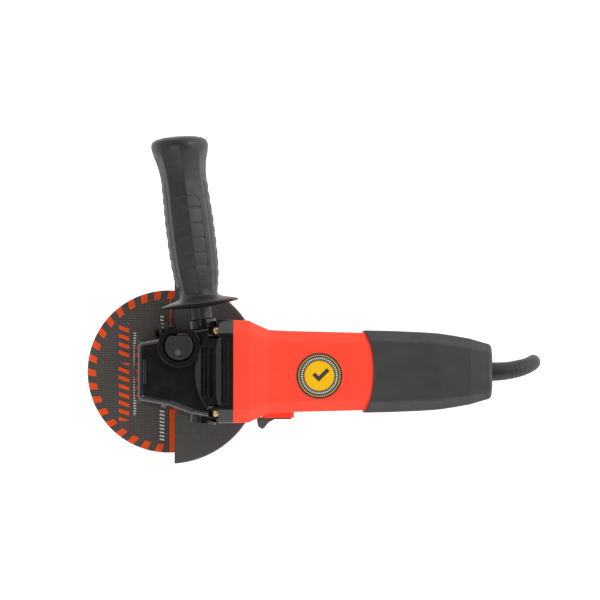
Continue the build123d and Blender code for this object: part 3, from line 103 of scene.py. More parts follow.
class Finish:
    """A material built up from nodes round one Principled shader. edge is the radius, in
    millimetres, to which its sharp edges look rounded."""

    def __init__(self, name, color, roughness, metallic=0.0, coat=0.0, edge=0.5, shine=0.5):
        self.material = bpy.data.materials.new(name)
        self.material.use_nodes = True
        tree = self.material.node_tree
        self.nodes, self.links = tree.nodes, tree.links
        self.shader = self.nodes["Principled BSDF"]
        self.set("Base Color", (*color, 1.0))
        self.set("Roughness", roughness)
        self.set("Metallic", metallic)
        self.set("Coat Weight", coat)
        self.set("Coat Roughness", COAT_ROUGHNESS)
        self.set("Specular IOR Level", shine)
        self.place = self.add("ShaderNodeTexCoord").outputs["Object"]
        self.normal = None
        if edge:
            bevel = self.add("ShaderNodeBevel", Radius=edge * MM)
            bevel.samples = BEVEL_SAMPLES
            self.normal = bevel.outputs[0]
            self.link("Normal", self.normal)

    def set(self, socket, value):
        self.shader.inputs[socket].default_value = value

    def link(self, socket, output):
        self.links.new(output, self.shader.inputs[socket])

    def add(self, kind, **inputs):
        """A node, with each named input linked to an output or set to a value."""
        node = self.nodes.new(kind)
        for name, value in inputs.items():
            self.feed(node.inputs[name.replace("_", " ")], value)
        return node

    def feed(self, socket, value):
        if isinstance(value, bpy.types.NodeSocket):
            self.links.new(value, socket)
        else:
            socket.default_value = value

    def math(self, operation, first, second=0.0):
        node = self.nodes.new("ShaderNodeMath")
        node.operation = operation
        for socket, value in zip(node.inputs, (first, second)):
            self.feed(socket, value)
        return node.outputs[0]

    def between(self, value, low, high):
        """1 where value is between low and high, and 0 elsewhere."""
        return self.math(
            "MULTIPLY", self.math("GREATER_THAN", value, low), self.math("LESS_THAN", value, high)
        )

    def noise(self, scale, detail=3.0, stretch=(1, 1, 1)):
        """Noise with about scale features to the metre."""
        mapped = self.add("ShaderNodeMapping", Vector=self.place, Scale=stretch)
        node = self.add("ShaderNodeTexNoise", Vector=mapped.outputs[0], Scale=scale, Detail=detail)
        return node.outputs[0]

    def spread(self, value, low, high, to_low=0.0, to_high=1.0):
        """value taken from low..high to to_low..to_high, and held at its ends."""
        return map_range(self.material.node_tree, value, low, high, to_low, to_high).outputs[0]

    def vary_gloss(self, noise, roughness, reach):
        """Roughness that follows a noise, between its usual value plus each step in reach."""
        low, high = [roughness + step for step in reach]
        self.link("Roughness", self.spread(noise, *GLOSS_RANGE, low, high))

    def blend(self, share, first, second):
        """A colour that goes from first to second with share. Each is a colour or an output."""
        node = self.nodes.new("ShaderNodeMix")
        node.data_type = "RGBA"
        self.feed(node.inputs["Factor"], share)
        for name, value in (("A", first), ("B", second)):
            socket = [s for s in node.inputs if s.name == name and s.type == "RGBA"][0]
            linked = isinstance(value, bpy.types.NodeSocket)
            self.feed(socket, value if linked else (*value, 1.0))
        return [s for s in node.outputs if s.type == "RGBA"][0]

    def bump(self, height, depth):
        """Raises the surface by depth, in millimetres, where height is 1."""
        node = self.add("ShaderNodeBump", Height=height, Distance=depth * MM, Strength=1.0)
        if self.normal is not None:
            self.links.new(self.normal, node.inputs["Normal"])
        self.normal = node.outputs[0]
        self.link("Normal", self.normal)
        return self

    def length(self, first, second):
        """The distance from the origin of a point given by two coordinates."""
        squares = [self.math("MULTIPLY", value, value) for value in (first, second)]
        return self.math("SQRT", self.math("ADD", *squares))

    def patch(self, x, y, span_x, span_y):
        """1 inside a rectangle given in millimetres, and 0 outside."""
        across = self.between(x, span_x[0] * MM, span_x[1] * MM)
        along = self.between(y, span_y[0] * MM, span_y[1] * MM)
        return self.math("MULTIPLY", across, along)

    def stripes(self, turns, share):
        """1 in the first share of each whole step of turns, and 0 in the rest of it."""
        phase = self.math("FRACT", self.math("ADD", turns, KEEP_POSITIVE))
        return self.math("LESS_THAN", phase, share)

    def dashes(self, x, y, span_x, span_y, pitch, share, slant):
        """A row of slanted bars along Y inside a rectangle, in millimetres: 1 inside a bar."""
        leaning = self.math("ADD", y, self.math("MULTIPLY", x, slant))
        steps = self.math("MULTIPLY", leaning, 1 / (pitch * MM))
        return self.math("MULTIPLY", self.patch(x, y, span_x, span_y), self.stripes(steps, share))

    def plan(self):
        """The object's own X and Y."""
        split = self.add("ShaderNodeSeparateXYZ", Vector=self.place)
        return split.outputs[0], split.outputs[1]


def moulded(name, color, roughness, grain=2600, depth=0.03, vary=0.12, edge=0.5, shine=0.4):
    """Moulded plastic: fine grain, faint cloudiness in colour, and uneven gloss."""
    finish = Finish(name, color, roughness, edge=edge, shine=shine)
    dark = [c * (1 - vary) for c in color]
    light = [min(1.0, c * (1 + vary)) for c in color]
    cloud = finish.spread(finish.noise(*CLOUD), *CLOUD_RANGE)
    finish.link("Base Color", finish.blend(cloud, dark, light))
    finish.vary_gloss(finish.noise(*RUB), roughness, RUB_GLOSS)
    finish.bump(finish.noise(grain, 2), depth)
    return finish


def metal(name, color, roughness, stretch=(1, 1, 1), grain=900, depth=0.01):
    """Bare or plated metal, with fine scratches along one direction and faint stains."""
    finish = Finish(name, color, roughness, metallic=1.0, edge=METAL_EDGE)
    dark = [c * STAIN_SHADE for c in color]
    stain = finish.spread(finish.noise(*STAIN), *STAIN_RANGE)
    finish.link("Base Color", finish.blend(stain, dark, color))
    scratch = finish.noise(grain, stretch=stretch)
    finish.vary_gloss(scratch, roughness, SCRATCH_GLOSS)
    finish.bump(scratch, depth)
    return finish


def painted(name, color, roughness, coat=0.0, shine=0.5, edge=0.9):
    """Sprayed paint on metal: orange peel, fine dust and a little wear in its gloss."""
    finish = Finish(name, color, roughness, edge=edge, coat=coat, shine=shine)
    light = [min(1.0, c * DUST_LIFT + DUST_FLOOR) for c in color]
    dust = finish.spread(finish.noise(*DUST), *DUST_RANGE)
    finish.link("Base Color", finish.blend(dust, color, light))
    finish.vary_gloss(finish.noise(*WEAR), roughness, WEAR_GLOSS)
    finish.bump(finish.noise(*PEEL), PEEL_DEPTH)
    return finish


RED = (1.0, 0.07, 0.038)
CHARCOAL = (0.038, 0.038, 0.039)
BLACK = (0.011, 0.011, 0.012)
HANDLE_BLACK = (0.017, 0.017, 0.018)

finishes = {
    "red": moulded("red_plastic", RED, 0.38, vary=0.04, edge=0.9, shine=0.08),
    "charcoal": moulded("charcoal_plastic", CHARCOAL, 0.5, grain=1900, depth=0.05, edge=0.9, shine=0.3),
    "handle": moulded("handle_plastic", HANDLE_BLACK, 0.42, grain=2200, depth=0.04, edge=0.0, shine=0.42),
    "black": moulded("black_plastic", BLACK, 0.36),
    "slider": moulded("slider_plastic", (0.066, 0.074, 0.076), 0.42, edge=0.4),
    "button": moulded("button_plastic", (0.014, 0.014, 0.015), 0.42, edge=0.3, shine=0.4),
    "rubber": moulded("rubber", (0.018, 0.018, 0.019), 0.48, grain=1500, depth=0.02, edge=0.0),
    "head": painted("head_paint", (0.0062, 0.0062, 0.0065), 0.15, coat=0.1, shine=0.5, edge=0.35),
    "cover": painted("cover_paint", (0.02, 0.02, 0.021), 0.4),
    "guard": painted("guard_paint", (0.064, 0.063, 0.062), 0.4, shine=0.3),
    "steel": metal("steel", (0.55, 0.55, 0.54), 0.32),
    "ground": metal("ground_steel", (0.68, 0.68, 0.68), 0.2),
    "gear": metal("gear_steel", (0.32, 0.32, 0.33), 0.36),
    "zinc": metal("yellow_zinc", (0.5, 0.36, 0.2), 0.3),
    "blackened": metal("blackened_steel", (0.035, 0.035, 0.036), 0.4),
    "pin": metal("pin_steel", (0.15, 0.15, 0.15), 0.4),
    "plate": metal("lock_plate_steel", (0.2, 0.17, 0.12), 0.4),
    "copper": metal("copper_wire", (0.62, 0.27, 0.12), 0.35, stretch=(9, 1, 1), grain=1200, depth=0.2),
    "brass": metal("brass", (0.68, 0.5, 0.22), 0.3),
    "nickel": metal("nickel", (0.66, 0.63, 0.56), 0.22),
    "alloy": metal("cast_alloy", (0.58, 0.58, 0.6), 0.5, grain=700, depth=0.06),
    "laminated": metal("laminated_steel", (0.3, 0.3, 0.31), 0.45, stretch=(14, 1, 1), grain=260, depth=0.1),
    "carbon": moulded("carbon", (0.02, 0.02, 0.021), 0.6, grain=1200, depth=0.05, edge=0.2),
    "amber": moulded("amber_plastic", (0.55, 0.38, 0.05), 0.35),
}

node_finish = {
    "gear_housing": "head",
    "gear_housing_screws": "zinc",
    "bearing_cover": "cover",
    "bearing_cover_screws": "steel",
    "spindle": "steel",
    "spindle_inner_race": "ground",
    "bearing_outer_races": "ground",
    "bearing_balls": "ground",
    "needle_bush": "ground",
    "crown_gear": "gear",
    "pinion_gear": "gear",
    "pinion_nut": "steel",
    "inner_flange": "steel",
    "flange_nut": "steel",
    "guard": "guard",
    "guard_clamp_screw": "blackened",
    "guard_clamp_nut": "blackened",
    "lock_button": "button",
    "lock_pin": "pin",
    "lock_spring": "steel",
    "lock_plate": "plate",
    "side_handle": "handle",
    "handle_stud": "steel",
    "bearing_plate": "alloy",
    "armature_shaft": "ground",
    "armature_inner_races": "ground",
    "armature_core": "laminated",
    "armature_windings": "copper",
    "commutator": "copper",
    "fan": "black",
    "air_baffle": "black",
    "rear_bearing_seat": "rubber",
    "stator_core": "laminated",
    "field_coils": "copper",
    "stator_screws": "steel",
    "brush_holders": "brass",
    "carbon_brushes": "carbon",
    "brush_springs": "steel",
    "motor_housing": "red",
    "rear_cover": "charcoal",
    "rear_cover_screws": "blackened",
    "switch_slider": "slider",
    "switch_rod": "black",
    "switch_body": "black",
    "switch_spring": "steel",
    "capacitor": "amber",
    "cord_clamp": "black",
    "cord_clamp_screws": "steel",
    "inner_cord": "rubber",
    "cord_tie": "black",
    "plug_body": "rubber",
    "plug_pins": "nickel",
}


# ---------------------------------------------------------------- disc and badge faces

# places and sizes on the faces are in millimetres from the spindle or from the badge's middle
MARK_COUNT = 35
MARK_INNER, MARK_OUTER = 56.0, 62.6
MARK_SHARE = 0.47
MARK_SLANT = 28.0
THREAD_PITCH, THREAD_SHARE = 1.3, 0.42
THREAD_RANGE = (0.1, 0.95)
BAR_SPAN_X = (-38.5, -30.5)
BAR_SPANS_Y = ((-38, 6.5), (11, 37))
BAR_PITCH, BAR_SHARE, BAR_SLANT = 6.4, 0.46, 0.35
EDGE_STRIPES = (((0.6, 4.6), (-62, -24)), ((0.6, 1.6), (24, 62)))
# spans along X and Y, and pitch, of each row of fine dashes
FINE_ROWS = (
    ((-27.2, -25.2), (-34, 30), 2.0),
    ((-7.0, -3.4), (-54, -29), 2.7),
    ((-6.6, -3.8), (29, 44), 2.7),
)
FINE_SHARE, FINE_SLANT, FINE_COVER = 0.45, 0.2, 0.9
GRIT, GRIT_RANGE = (1700, 4), (0.35, 0.7)
SPECKS, SPECKS_RANGE = (900, 4), (0.2, 0.36)
MESH_DEPTH, GRIT_DEPTH = 0.12, 0.08
RESIN_LOW, RESIN_HIGH = (0.02, 0.018, 0.016), (0.1, 0.091, 0.081)
THREAD_COLOR = (0.22, 0.207, 0.186)
ORANGE_LOW, ORANGE_HIGH = (1.0, 0.055, 0.008), (1.0, 0.13, 0.022)
PRINT_WHITE = (0.8, 0.78, 0.75)


def disc_face():
    """Glass mesh in dark resin, with slanted orange marks at the rim and plain printed bars."""
    finish = Finish("abrasive_disc", RESIN_HIGH, 0.8, edge=0.2, shine=0.2)
    x, y = finish.plan()
    radius = finish.length(x, y)
    # two sets of threads, at right angles
    threads = []
    for direction in (x, y):
        wave = finish.math("SINE", finish.math("MULTIPLY", direction, 2 * math.pi / (THREAD_PITCH * MM)))
        threads.append(finish.spread(wave, *THREAD_RANGE))
    mesh = finish.math("MAXIMUM", *threads)
    grit = finish.noise(*GRIT)
    resin = finish.blend(finish.spread(grit, *GRIT_RANGE), RESIN_LOW, RESIN_HIGH)
    color = finish.blend(finish.math("MULTIPLY", mesh, THREAD_SHARE), resin, THREAD_COLOR)
    # orange print, rubbed away in specks
    worn = finish.spread(finish.noise(*SPECKS), *SPECKS_RANGE)
    orange = finish.blend(grit, ORANGE_LOW, ORANGE_HIGH)
    turns = finish.math("MULTIPLY", finish.math("ARCTAN2", y, x), MARK_COUNT / (2 * math.pi))
    slanted = finish.math("ADD", turns, finish.math("MULTIPLY", radius, MARK_SLANT))
    rim = finish.between(radius, MARK_INNER * MM, MARK_OUTER * MM)
    prints = [finish.math("MULTIPLY", finish.stripes(slanted, MARK_SHARE), rim)]
    for span_y in BAR_SPANS_Y:
        prints.append(finish.dashes(x, y, BAR_SPAN_X, span_y, BAR_PITCH, BAR_SHARE, BAR_SLANT))
    for span_x, span_y in EDGE_STRIPES:
        prints.append(finish.patch(x, y, span_x, span_y))
    for printed in prints:
        color = finish.blend(finish.math("MULTIPLY", printed, worn), color, orange)
    for span_x, span_y, pitch in FINE_ROWS:
        fine = finish.dashes(x, y, span_x, span_y, pitch, FINE_SHARE, FINE_SLANT)
        color = finish.blend(finish.math("MULTIPLY", fine, FINE_COVER), color, PRINT_WHITE)
    finish.link("Base Color", color)
    finish.bump(mesh, MESH_DEPTH).bump(grit, GRIT_DEPTH)
    return finish


BADGE_DARK, BADGE_GOLD = (0.05, 0.047, 0.044), (0.55, 0.36, 0.07)
BADGE_YELLOW = (0.9, 0.5, 0.006)
BADGE_MIDDLE_RADIUS = 11.0
BADGE_RINGS = ((11.35, 11.65), (15.0, 15.7))
BADGE_DASH_COUNT = 56
BADGE_DASH_SHARE, BADGE_DASH_COVER = 0.55, 0.8
BADGE_DASH_RING = (12.4, 13.8)
GRIME, GRIME_COVER, GRIME_COLOR = (700, 3), 0.12, (0.02, 0.02, 0.02)
WRINKLES, WRINKLE_DEPTH = (260, 2), 0.02
TICK_LEAN = math.radians(45)
TICK_LONG = ((-3.5, 8.0), (-2.8, 0.2))
TICK_SHORT = ((-3.5, -0.5), (-2.8, 4.2))


def badge_face():
    """Rings of grey and gold round a yellow middle, with a tick."""
    finish = Finish("badge_print", BADGE_YELLOW, 0.4, edge=0.15, coat=0.1, shine=0.15)
    x, y = finish.plan()
    low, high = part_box("badge")
    middle = (low + high) / 2
    dx = finish.math("SUBTRACT", x, middle.x)
    dy = finish.math("SUBTRACT", y, middle.y)
    radius = finish.length(dx, dy)
    outside = finish.math("GREATER_THAN", radius, BADGE_MIDDLE_RADIUS * MM)
    color = finish.blend(outside, BADGE_YELLOW, BADGE_DARK)
    for inner, outer in BADGE_RINGS:
        color = finish.blend(finish.between(radius, inner * MM, outer * MM), color, BADGE_GOLD)
    # pale dashes between the gold rings
    turns = finish.math("MULTIPLY", finish.math("ARCTAN2", dy, dx), BADGE_DASH_COUNT / (2 * math.pi))
    inner, outer = BADGE_DASH_RING
    dash = finish.math(
        "MULTIPLY", finish.stripes(turns, BADGE_DASH_SHARE), finish.between(radius, inner * MM, outer * MM)
    )
    color = finish.blend(finish.math("MULTIPLY", dash, BADGE_DASH_COVER), color, PRINT_WHITE)
    # the tick: two bars that meet at right angles, leaning
    cosine, sine = math.cos(TICK_LEAN), math.sin(TICK_LEAN)
    along = finish.math("ADD", finish.math("MULTIPLY", dx, cosine), finish.math("MULTIPLY", dy, sine))
    aside = finish.math("SUBTRACT", finish.math("MULTIPLY", dy, cosine), finish.math("MULTIPLY", dx, sine))
    bars = [finish.patch(along, aside, *spans) for spans in (TICK_LONG, TICK_SHORT)]
    color = finish.blend(finish.math("MAXIMUM", *bars), color, BADGE_DARK)
    grime = finish.math("MULTIPLY", finish.noise(*GRIME), GRIME_COVER)
    color = finish.blend(grime, color, GRIME_COLOR)
    finish.link("Base Color", color)
    finish.bump(finish.noise(*WRINKLES), WRINKLE_DEPTH)
    return finish


finishes["disc"] = disc_face()
finishes["badge"] = badge_face()
node_finish["cutting_disc"] = "disc"
node_finish["badge"] = "badge"


def dress(obj, finish):
    """Gives obj one of the finishes, in place of any material that it has."""
    obj.data.materials.clear()
    obj.data.materials.append(finishes[finish].material)


for node, finish in node_finish.items():
    dress(nodes[node], finish)


# ---------------------------------------------------------------- mesh helpers


def new_object(name, data, body, slot, finish, *replaced):
    """A piece that rides on a body and stands for the CAD nodes named last."""
    obj = bpy.data.objects.new(name, data)
    bpy.context.scene.collection.objects.link(obj)
    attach(obj, body)
    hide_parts(*replaced)
    dress(obj, finish)
    return obj


def grid_mesh(name, rows):
    """A tube mesh from rings of points, closed at its ends."""
    mesh = bpy.data.meshes.new(name)
    work = bmesh.new()
    rings = [[work.verts.new(point) for point in row] for row in rows]
    count = len(rows[0])
    for first, second in zip(rings, rings[1:]):
        for i in range(count):
            j = (i + 1) % count
            work.faces.new((first[i], first[j], second[j], second[i]))
    work.faces.new(list(reversed(rings[0])))
    work.faces.new(rings[-1])
    bmesh.ops.recalc_face_normals(work, faces=work.faces)
    for face in work.faces:
        face.smooth = True
    work.to_mesh(mesh)
    work.free()
    return mesh


def ring(center, across, up, radius, count):
    """Points round a circle, from across towards up."""
    angles = [2 * math.pi * index / count for index in range(count)]
    return [center + (across * math.cos(angle) + up * math.sin(angle)) * radius for angle in angles]


def interpolate(table, where):
    """A value from a table of (place, value), straight between its rows and held at its ends."""
    if where <= table[0][0]:
        return table[0][1]
    for (before, value_before), (after, value_after) in zip(table, table[1:]):
        if where <= after:
            share = (where - before) / (after - before)
            return value_before + (value_after - value_before) * share
    return table[-1][1]


# ---------------------------------------------------------------- mains lead

CORD_RADIUS = 3.2
SLEEVE_END = (279.0, 7.7, 20.0)
FOLD_RADIUS = 21.5
FIRST_FOLD_X = 98.7
LAST_FOLD_X = 210.7
LAYERS = 5
LAYER_Z = -10.3
FOLD_STEPS = 6
CLIMB_SHARE = 0.6
RUN_INSET = 11.5
LEAD_IN_REACH = 8.9
PLUG_Z = -2.5


def fold(center_x, start_angle, low_z, high_z):
    """Control points round one half turn of the hank, clockwise, that climb at its start."""
    step = 180 / FOLD_STEPS
    reach = FOLD_RADIUS / math.cos(math.radians(step / 2))
    points = []
    for index in range(FOLD_STEPS):
        angle = math.radians(start_angle - step * (index + 0.5))
        climb = min(1.0, (index + 0.5) / (FOLD_STEPS * CLIMB_SHARE))
        z = low_z + (high_z - low_z) * climb
        points.append((center_x + reach * math.cos(angle), reach * math.sin(angle), z))
    return points


def run(from_x, to_x, y, z):
    """The two control points of a straight run, near its ends."""
    inset = math.copysign(RUN_INSET, to_x - from_x)
    return [(from_x + inset, y, z), (to_x - inset, y, z)]


lead_in = [
    SLEEVE_END,
    (279.0, 7.7, 7.5),
    (272.6, 6.3, -3.8),
    (261.6, 3.9, LAYER_Z),
    (239.0, -1.9, LAYER_Z),
    (LAST_FOLD_X + LEAD_IN_REACH, -FOLD_RADIUS, LAYER_Z),
]
windings = []
for layer in range(LAYERS):
    z = LAYER_Z + 2 * CORD_RADIUS * layer
    windings += run(LAST_FOLD_X, FIRST_FOLD_X, -FOLD_RADIUS, z)
    windings += fold(FIRST_FOLD_X, 270, z, z)
    if layer < LAYERS - 1:
        windings += run(FIRST_FOLD_X, LAST_FOLD_X, FOLD_RADIUS, z)
        windings += fold(LAST_FOLD_X, 90, z, z + 2 * CORD_RADIUS)
# down from the top layer to the plug: places along X, and shares of the way to its axis
TOP_Z = LAYER_Z + 2 * CORD_RADIUS * (LAYERS - 1)
lead_out = [
    (x, FOLD_RADIUS * (1 - share), TOP_Z + (PLUG_Z - TOP_Z) * share)
    for x, share in ((105.0, 0), (118.9, 0.2), (136.5, 0.8), (150.4, 1), (163.4, 1))
]
route = lead_in + windings + lead_out


def nurbs_curve(name, points, order, radius=1.0):
    """A smooth open curve with these control points, in millimetres."""
    data = bpy.data.curves.new(name, "CURVE")
    data.dimensions = "3D"
    line = data.splines.new("NURBS")
    line.points.add(len(points) - 1)
    for point, place in zip(line.points, points):
        point.co = (*mm(*place), 1.0)
        point.radius = radius
    line.order_u = order
    line.use_endpoint_u = True
    return data


# the depth of the bevel is 1, so each point's radius is the cord's own, in metres
curve = nurbs_curve("mains_lead", route, order=3, radius=CORD_RADIUS * MM)
curve.bevel_depth = 1.0
curve.bevel_resolution = 5
curve.resolution_u = 8
curve.use_fill_caps = True
lead = new_object("mains_lead", curve, "body", "power_cord", "rubber", "power_cord", "cord_hank", "plug_cord")


def path_points(points, steps):
    """Points along a smooth curve through control points, from Blender's own spline."""
    data = nurbs_curve("path", points, order=4)
    data.resolution_u = steps
    holder = bpy.data.objects.new("path", data)
    mesh = bpy.data.meshes.new_from_object(holder)
    found = [vertex.co.copy() for vertex in mesh.vertices]
    bpy.data.objects.remove(holder)
    bpy.data.meshes.remove(mesh)
    return found


SLEEVE_ROUTE = (
    (237.5, 0, 48.5), (250, -0.4, 48.5), (264, 1.4, 47.6), (275, 5.2, 41.5), (279, 7.7, 32), SLEEVE_END
)
# radius of the sleeve by its share of the length: the collar, the step, then the taper
SLEEVE_PROFILE = ((0, 9.0), (0.045, 9.0), (0.05, 7.1), (0.14, 7.1), (0.42, 6.5), (0.99, 5.1), (1.0, 4.7))
SLEEVE_STEPS = 60
SLEEVE_SIDES = 40
RIB_START, RIB_END = 0.36, 0.86
RIB_PITCH = 3.0
RIB_HEIGHT = 0.09


def sleeve_rows():
    """Rings of the ribbed, tapered sleeve along its bend."""
    line = path_points(SLEEVE_ROUTE, SLEEVE_STEPS)
    lengths = [0.0]
    for a, b in zip(line, line[1:]):
        lengths.append(lengths[-1] + (b - a).length)
    rows = []
    for index, point in enumerate(line):
        share = lengths[index] / lengths[-1]
        ahead = line[min(index + 1, len(line) - 1)] - line[max(index - 1, 0)]
        ahead.normalize()
        across = Vector((0.0, 1.0, 0.0)) - ahead * ahead.y
        across.normalize()
        radius = interpolate(SLEEVE_PROFILE, share)
        if RIB_START < share < RIB_END:
            radius += RIB_HEIGHT * math.sin(lengths[index] / MM * 2 * math.pi / RIB_PITCH)
        rows.append(ring(point, across, ahead.cross(across), radius * MM, SLEEVE_SIDES))
    return rows


sleeve = new_object(
    "cord_sleeve", grid_mesh("cord_sleeve", sleeve_rows()), "body", "cable_sleeve", "rubber", "cable_sleeve"
)

# ---------------------------------------------------------------- side handle

HANDLE_ROOT = mm(25.0, 38.9, 48.5)
HANDLE_LEAN = math.radians(7.4)
HANDLE_AXIS = Vector((-math.sin(HANDLE_LEAN), math.cos(HANDLE_LEAN), 0))
HANDLE_SIDE = Vector((math.cos(HANDLE_LEAN), math.sin(HANDLE_LEAN), 0))
# outline of the grip: distance from its root, and radius
GRIP_PROFILE = (
    (0.3, 7.6), (0.6, 8.0), (9.3, 8.0), (9.7, 8.6), (11.6, 27.6), (11.9, 28.8), (12.3, 29.3), (12.7, 29.4),
    (13.1, 29.2), (13.5, 28.6), (14.9, 23.5), (16.2, 18.4), (17.2, 15.9), (18.2, 14.6), (20.0, 14.2),
    (23.0, 14.5), (29.0, 15.6), (36.0, 16.6), (46.0, 17.3), (61.0, 17.6), (77.0, 17.5), (88.0, 17.1),
    (97.0, 16.8), (105.0, 16.7), (112.0, 17.0), (118.0, 17.8), (123.0, 19.0), (127.0, 20.4), (130.0, 21.3),
    (132.0, 21.6), (134.3, 21.4), (136.5, 20.4), (138.2, 17.8), (139.3, 13.0), (139.9, 6.8), (140.1, 1.0),
)
TIP_START, TIP_SHEAR = 116, 0.058
FACET_COUNT = 8
FACET_START, FACET_FULL_START = 18.5, 23
FACET_FULL_END, FACET_END = 122, 131
FACET_STRENGTH, FACET_MEAN = 0.8, 0.965
# widths of the panels are angles, and their lengths are distances from the root
PANEL_START, PANEL_END = 34.0, 94.0
PANEL_HALF = 0.6
PANEL_ROUNDING = 7.0
PANEL_LINE_DEPTH, PANEL_LINE_REACH = 0.2, 0.05
PANEL_DEPTH, PANEL_BLEND = 0.12, 0.04
GROOVE_DEPTH, GROOVE_REACH = 0.5, 0.9
GROOVES = (40.6, 50.0, 61.4, 72.6, 84.4)
SIDE_START, SIDE_END = 24.0, 106.0
SIDE_HALF = 0.5
SIDE_HEIGHT, SIDE_BLEND, SIDE_END_BLEND = 0.4, 0.05, 2.5
PIT_PITCH, PIT_HALF, PIT_DEPTH = 8.4, 0.3, 0.35
PIT_FLAT = 0.5
NEAR_SHARE = 0.35
GRIP_SIDES = 168
GRIP_STEP = 0.5


def ramp(value, low, high):
    """0 below low, 1 above high, and a smooth rise between."""
    share = min(1.0, max(0.0, (value - low) / (high - low)))
    return share * share * (3 - 2 * share)


def nearness(value, target, reach):
    """1 close to target, falling to 0 at reach from it."""
    return 1 - ramp(abs(value - target), NEAR_SHARE * reach, reach)


def grip_radius(along, angle):
    """Radius of the grip at a distance from its root and an angle from the top."""
    radius = interpolate(GRIP_PROFILE, along)
    if along < FACET_START or along > FACET_END:
        return radius
    # soft facets, with an edge along the top
    fade = ramp(along, FACET_START, FACET_FULL_START) * (1 - ramp(along, FACET_FULL_END, FACET_END))
    half = math.pi / FACET_COUNT
    facet = math.cos(half) / math.cos((angle % (2 * half)) - half)
    radius *= 1 + fade * FACET_STRENGTH * (facet - FACET_MEAN)
    # grooved panels above and below
    aside = abs((angle + math.pi / 2) % math.pi - math.pi / 2)
    inward = max(0.0, PANEL_ROUNDING - min(along - PANEL_START, PANEL_END - along))
    if PANEL_START < along < PANEL_END:
        rounding = PANEL_ROUNDING - math.sqrt(PANEL_ROUNDING**2 - inward**2)
        edge = PANEL_HALF - rounding / radius
        radius -= PANEL_LINE_DEPTH * nearness(aside, edge, PANEL_LINE_REACH)
        inside = 1 - ramp(aside, edge - PANEL_BLEND, edge)
        radius -= inside * PANEL_DEPTH
        radius -= inside * GROOVE_DEPTH * max(nearness(along, groove, GROOVE_REACH) for groove in GROOVES)
    # raised panels with a row of diamond pits on both sides
    beside = abs(math.pi / 2 - aside)
    if SIDE_START < along < SIDE_END and beside < SIDE_HALF:
        ends = ramp(min(along - SIDE_START, SIDE_END - along), 0, SIDE_END_BLEND)
        radius += SIDE_HEIGHT * ends * (1 - ramp(beside, SIDE_HALF - SIDE_BLEND, SIDE_HALF))
        place = (along % PIT_PITCH) / PIT_PITCH - 0.5
        diamond = abs(place) / PIT_HALF + beside / PIT_HALF
        radius -= PIT_DEPTH * ends * (1 - ramp(diamond, PIT_FLAT, 1))
    return radius


def grip_stations():
    """Distances from the root, through all the profile's points."""
    stations = []
    for (start, _), (end, _) in zip(GRIP_PROFILE, GRIP_PROFILE[1:]):
        steps = max(1, int((end - start) / GRIP_STEP))
        stations += [start + (end - start) * index / steps for index in range(steps)]
    return stations + [GRIP_PROFILE[-1][0]]


def handle_rows():
    """Rings of the grip, the last ones slightly askew."""
    rows = []
    for along in grip_stations():
        row = []
        for index in range(GRIP_SIDES):
            angle = 2 * math.pi * index / GRIP_SIDES
            radius = grip_radius(along, angle)
            shear = TIP_SHEAR * radius * math.sin(angle) * ramp(along, TIP_START, FACET_END)
            outward = HANDLE_SIDE * math.sin(angle) + Vector((0, 0, 1)) * math.cos(angle)
            row.append(HANDLE_ROOT + (HANDLE_AXIS * (along - shear) + outward * radius) * MM)
        rows.append(row)
    return rows


new_object(
    "grip", grid_mesh("grip", handle_rows()), "side_handle", "side_handle", "handle", "side_handle"
)

# ---------------------------------------------------------------- lock spring

LOCK_SPRING_WIRE = 0.45 * MM
LOCK_SPRING_TURNS = 4
COIL_STEPS = 28
WIRE_SIDES = 10


def coil_rows(low, high, wire, turns):
    """Rings round the wire of an upright coil that fills the box from low to high."""
    middle = (low + high) / 2
    radius = (high.x - low.x) / 2 - wire
    rise = high.z - low.z - 2 * wire
    rows = []
    for index in range(COIL_STEPS * turns + 1):
        share = index / (COIL_STEPS * turns)
        angle = 2 * math.pi * turns * share
        outward = Vector((math.cos(angle), math.sin(angle), 0))
        center = Vector((middle.x, middle.y, low.z + wire + rise * share)) + outward * radius
        rows.append(ring(center, outward, Vector((0, 0, 1)), wire, WIRE_SIDES))
    return rows


spring_low, spring_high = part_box("lock_spring")
lock_coil = new_object(
    "lock_coil",
    grid_mesh("lock_coil", coil_rows(spring_low, spring_high, LOCK_SPRING_WIRE, LOCK_SPRING_TURNS)),
    "body",
    "lock_spring",
    "steel",
    "lock_spring",
)
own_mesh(lock_coil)

# ---------------------------------------------------------------- stage, light and camera

# the floor glows a little, like the opal sheet of a light table
FLOOR_GLOW = 0.9
FLOOR_HALF = 6.0
PAPER_LOW, PAPER_HIGH = (0.49, 0.49, 0.49), (0.51, 0.51, 0.51)
PAPER_GRAIN = 30
floor_mesh = bpy.data.meshes.new("floor")
grid = bmesh.new()
at_floor = Matrix.Translation((0, 0, FLOOR_Z))
bmesh.ops.create_grid(grid, x_segments=1, y_segments=1, size=FLOOR_HALF, matrix=at_floor)
grid.to_mesh(floor_mesh)
grid.free()
floor = bpy.data.objects.new("floor", floor_mesh)
bpy.context.scene.collection.objects.link(floor)
paper = Finish("pale_paper", PAPER_LOW, 0.9, edge=0.0)
paper.link("Base Color", paper.blend(paper.noise(PAPER_GRAIN), PAPER_LOW, PAPER_HIGH))
paper.set("Emission Color", (1, 1, 1, 1))
paper.set("Emission Strength", FLOOR_GLOW)
floor.data.materials.append(paper.material)


# name, place, target, side of the square and power in watts of each lamp
LIGHTS = (
    ("key", (1.5, 0.9, 1.5), (0.08, 0.03, 0), 1.2, 14),
    ("fill", (-0.7, -0.6, 2.0), (-0.02, 0, 0), 0.8, 12),
    ("rim", (-1.5, 0.7, 1.1), (0.05, 0.03, 0), 1.0, 2),
    ("front", (0.2, -1.7, 1.0), (0.1, 0, 0), 1.2, 1.5),
)


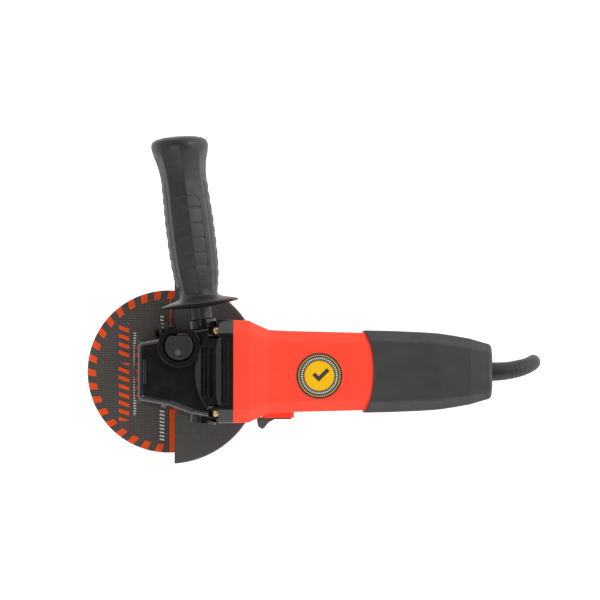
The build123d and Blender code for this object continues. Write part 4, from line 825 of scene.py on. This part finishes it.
def area_light(name, place, target, size, power):
    """A soft square lamp that faces its target."""
    data = bpy.data.lights.new(name, "AREA")
    data.size = size
    data.energy = power
    lamp = bpy.data.objects.new(name, data)
    lamp.location = place
    lamp.rotation_euler = (Vector(target) - Vector(place)).to_track_quat("-Z", "Y").to_euler()
    bpy.context.scene.collection.objects.link(lamp)


for light in LIGHTS:
    area_light(*light)

# heights are the upward part of a direction, from 0 at the horizon to 1 overhead
TENT_TOP_LOW, TENT_TOP_HIGH = 0.55, 0.84
TENT_BRIGHT, TENT_DARK = 1.35, 0.06
TENT_LEFT, TENT_RIGHT = 0.45, 1.45


def studio_world():
    """A light tent: bright all round from the horizon up, more so on +X, and dark overhead."""
    world = bpy.data.worlds.new("studio")
    bpy.context.scene.world = world
    world.use_nodes = True
    tree = world.node_tree
    split = tree.nodes.new("ShaderNodeSeparateXYZ")
    tree.links.new(tree.nodes.new("ShaderNodeTexCoord").outputs["Generated"], split.inputs[0])
    sideways, _, height = split.outputs
    overhead = map_range(tree, height, TENT_TOP_LOW, TENT_TOP_HIGH, TENT_BRIGHT, TENT_DARK)
    overhead.interpolation_type = "SMOOTHSTEP"
    beside = map_range(tree, sideways, -1.0, 1.0, TENT_LEFT, TENT_RIGHT)
    strength = tree.nodes.new("ShaderNodeMath")
    strength.operation = "MULTIPLY"
    tree.links.new(overhead.outputs[0], strength.inputs[0])
    tree.links.new(beside.outputs[0], strength.inputs[1])
    background = tree.nodes["Background"]
    background.inputs["Color"].default_value = (1, 1, 1, 1)
    tree.links.new(strength.outputs[0], background.inputs["Strength"])


studio_world()

bpy.context.scene.view_settings.view_transform = "Standard"

CAMERA_HEIGHT = 2.5
LOOK_AT = Vector((0.1011, 0.0552, 0.0))
FRAME_WIDTH = 0.4632
SENSOR_WIDTH = 36
camera_data = bpy.data.cameras.new("camera")
camera_data.sensor_width = SENSOR_WIDTH
camera = bpy.data.objects.new("camera", camera_data)
camera.location = (0, 0, CAMERA_HEIGHT)
backward = (camera.location - LOOK_AT).normalized()
right = Vector((0, 1, 0)).cross(backward).normalized()
upward = backward.cross(right)
turned = Matrix((right, upward, backward)).transposed().to_4x4()
camera.matrix_world = Matrix.Translation(camera.location) @ turned
camera_data.lens = SENSOR_WIDTH * (camera.location - LOOK_AT).length / FRAME_WIDTH
camera_data.clip_end = 20
bpy.context.scene.collection.objects.link(camera)
bpy.context.scene.camera = camera

bpy.context.view_layer.update()
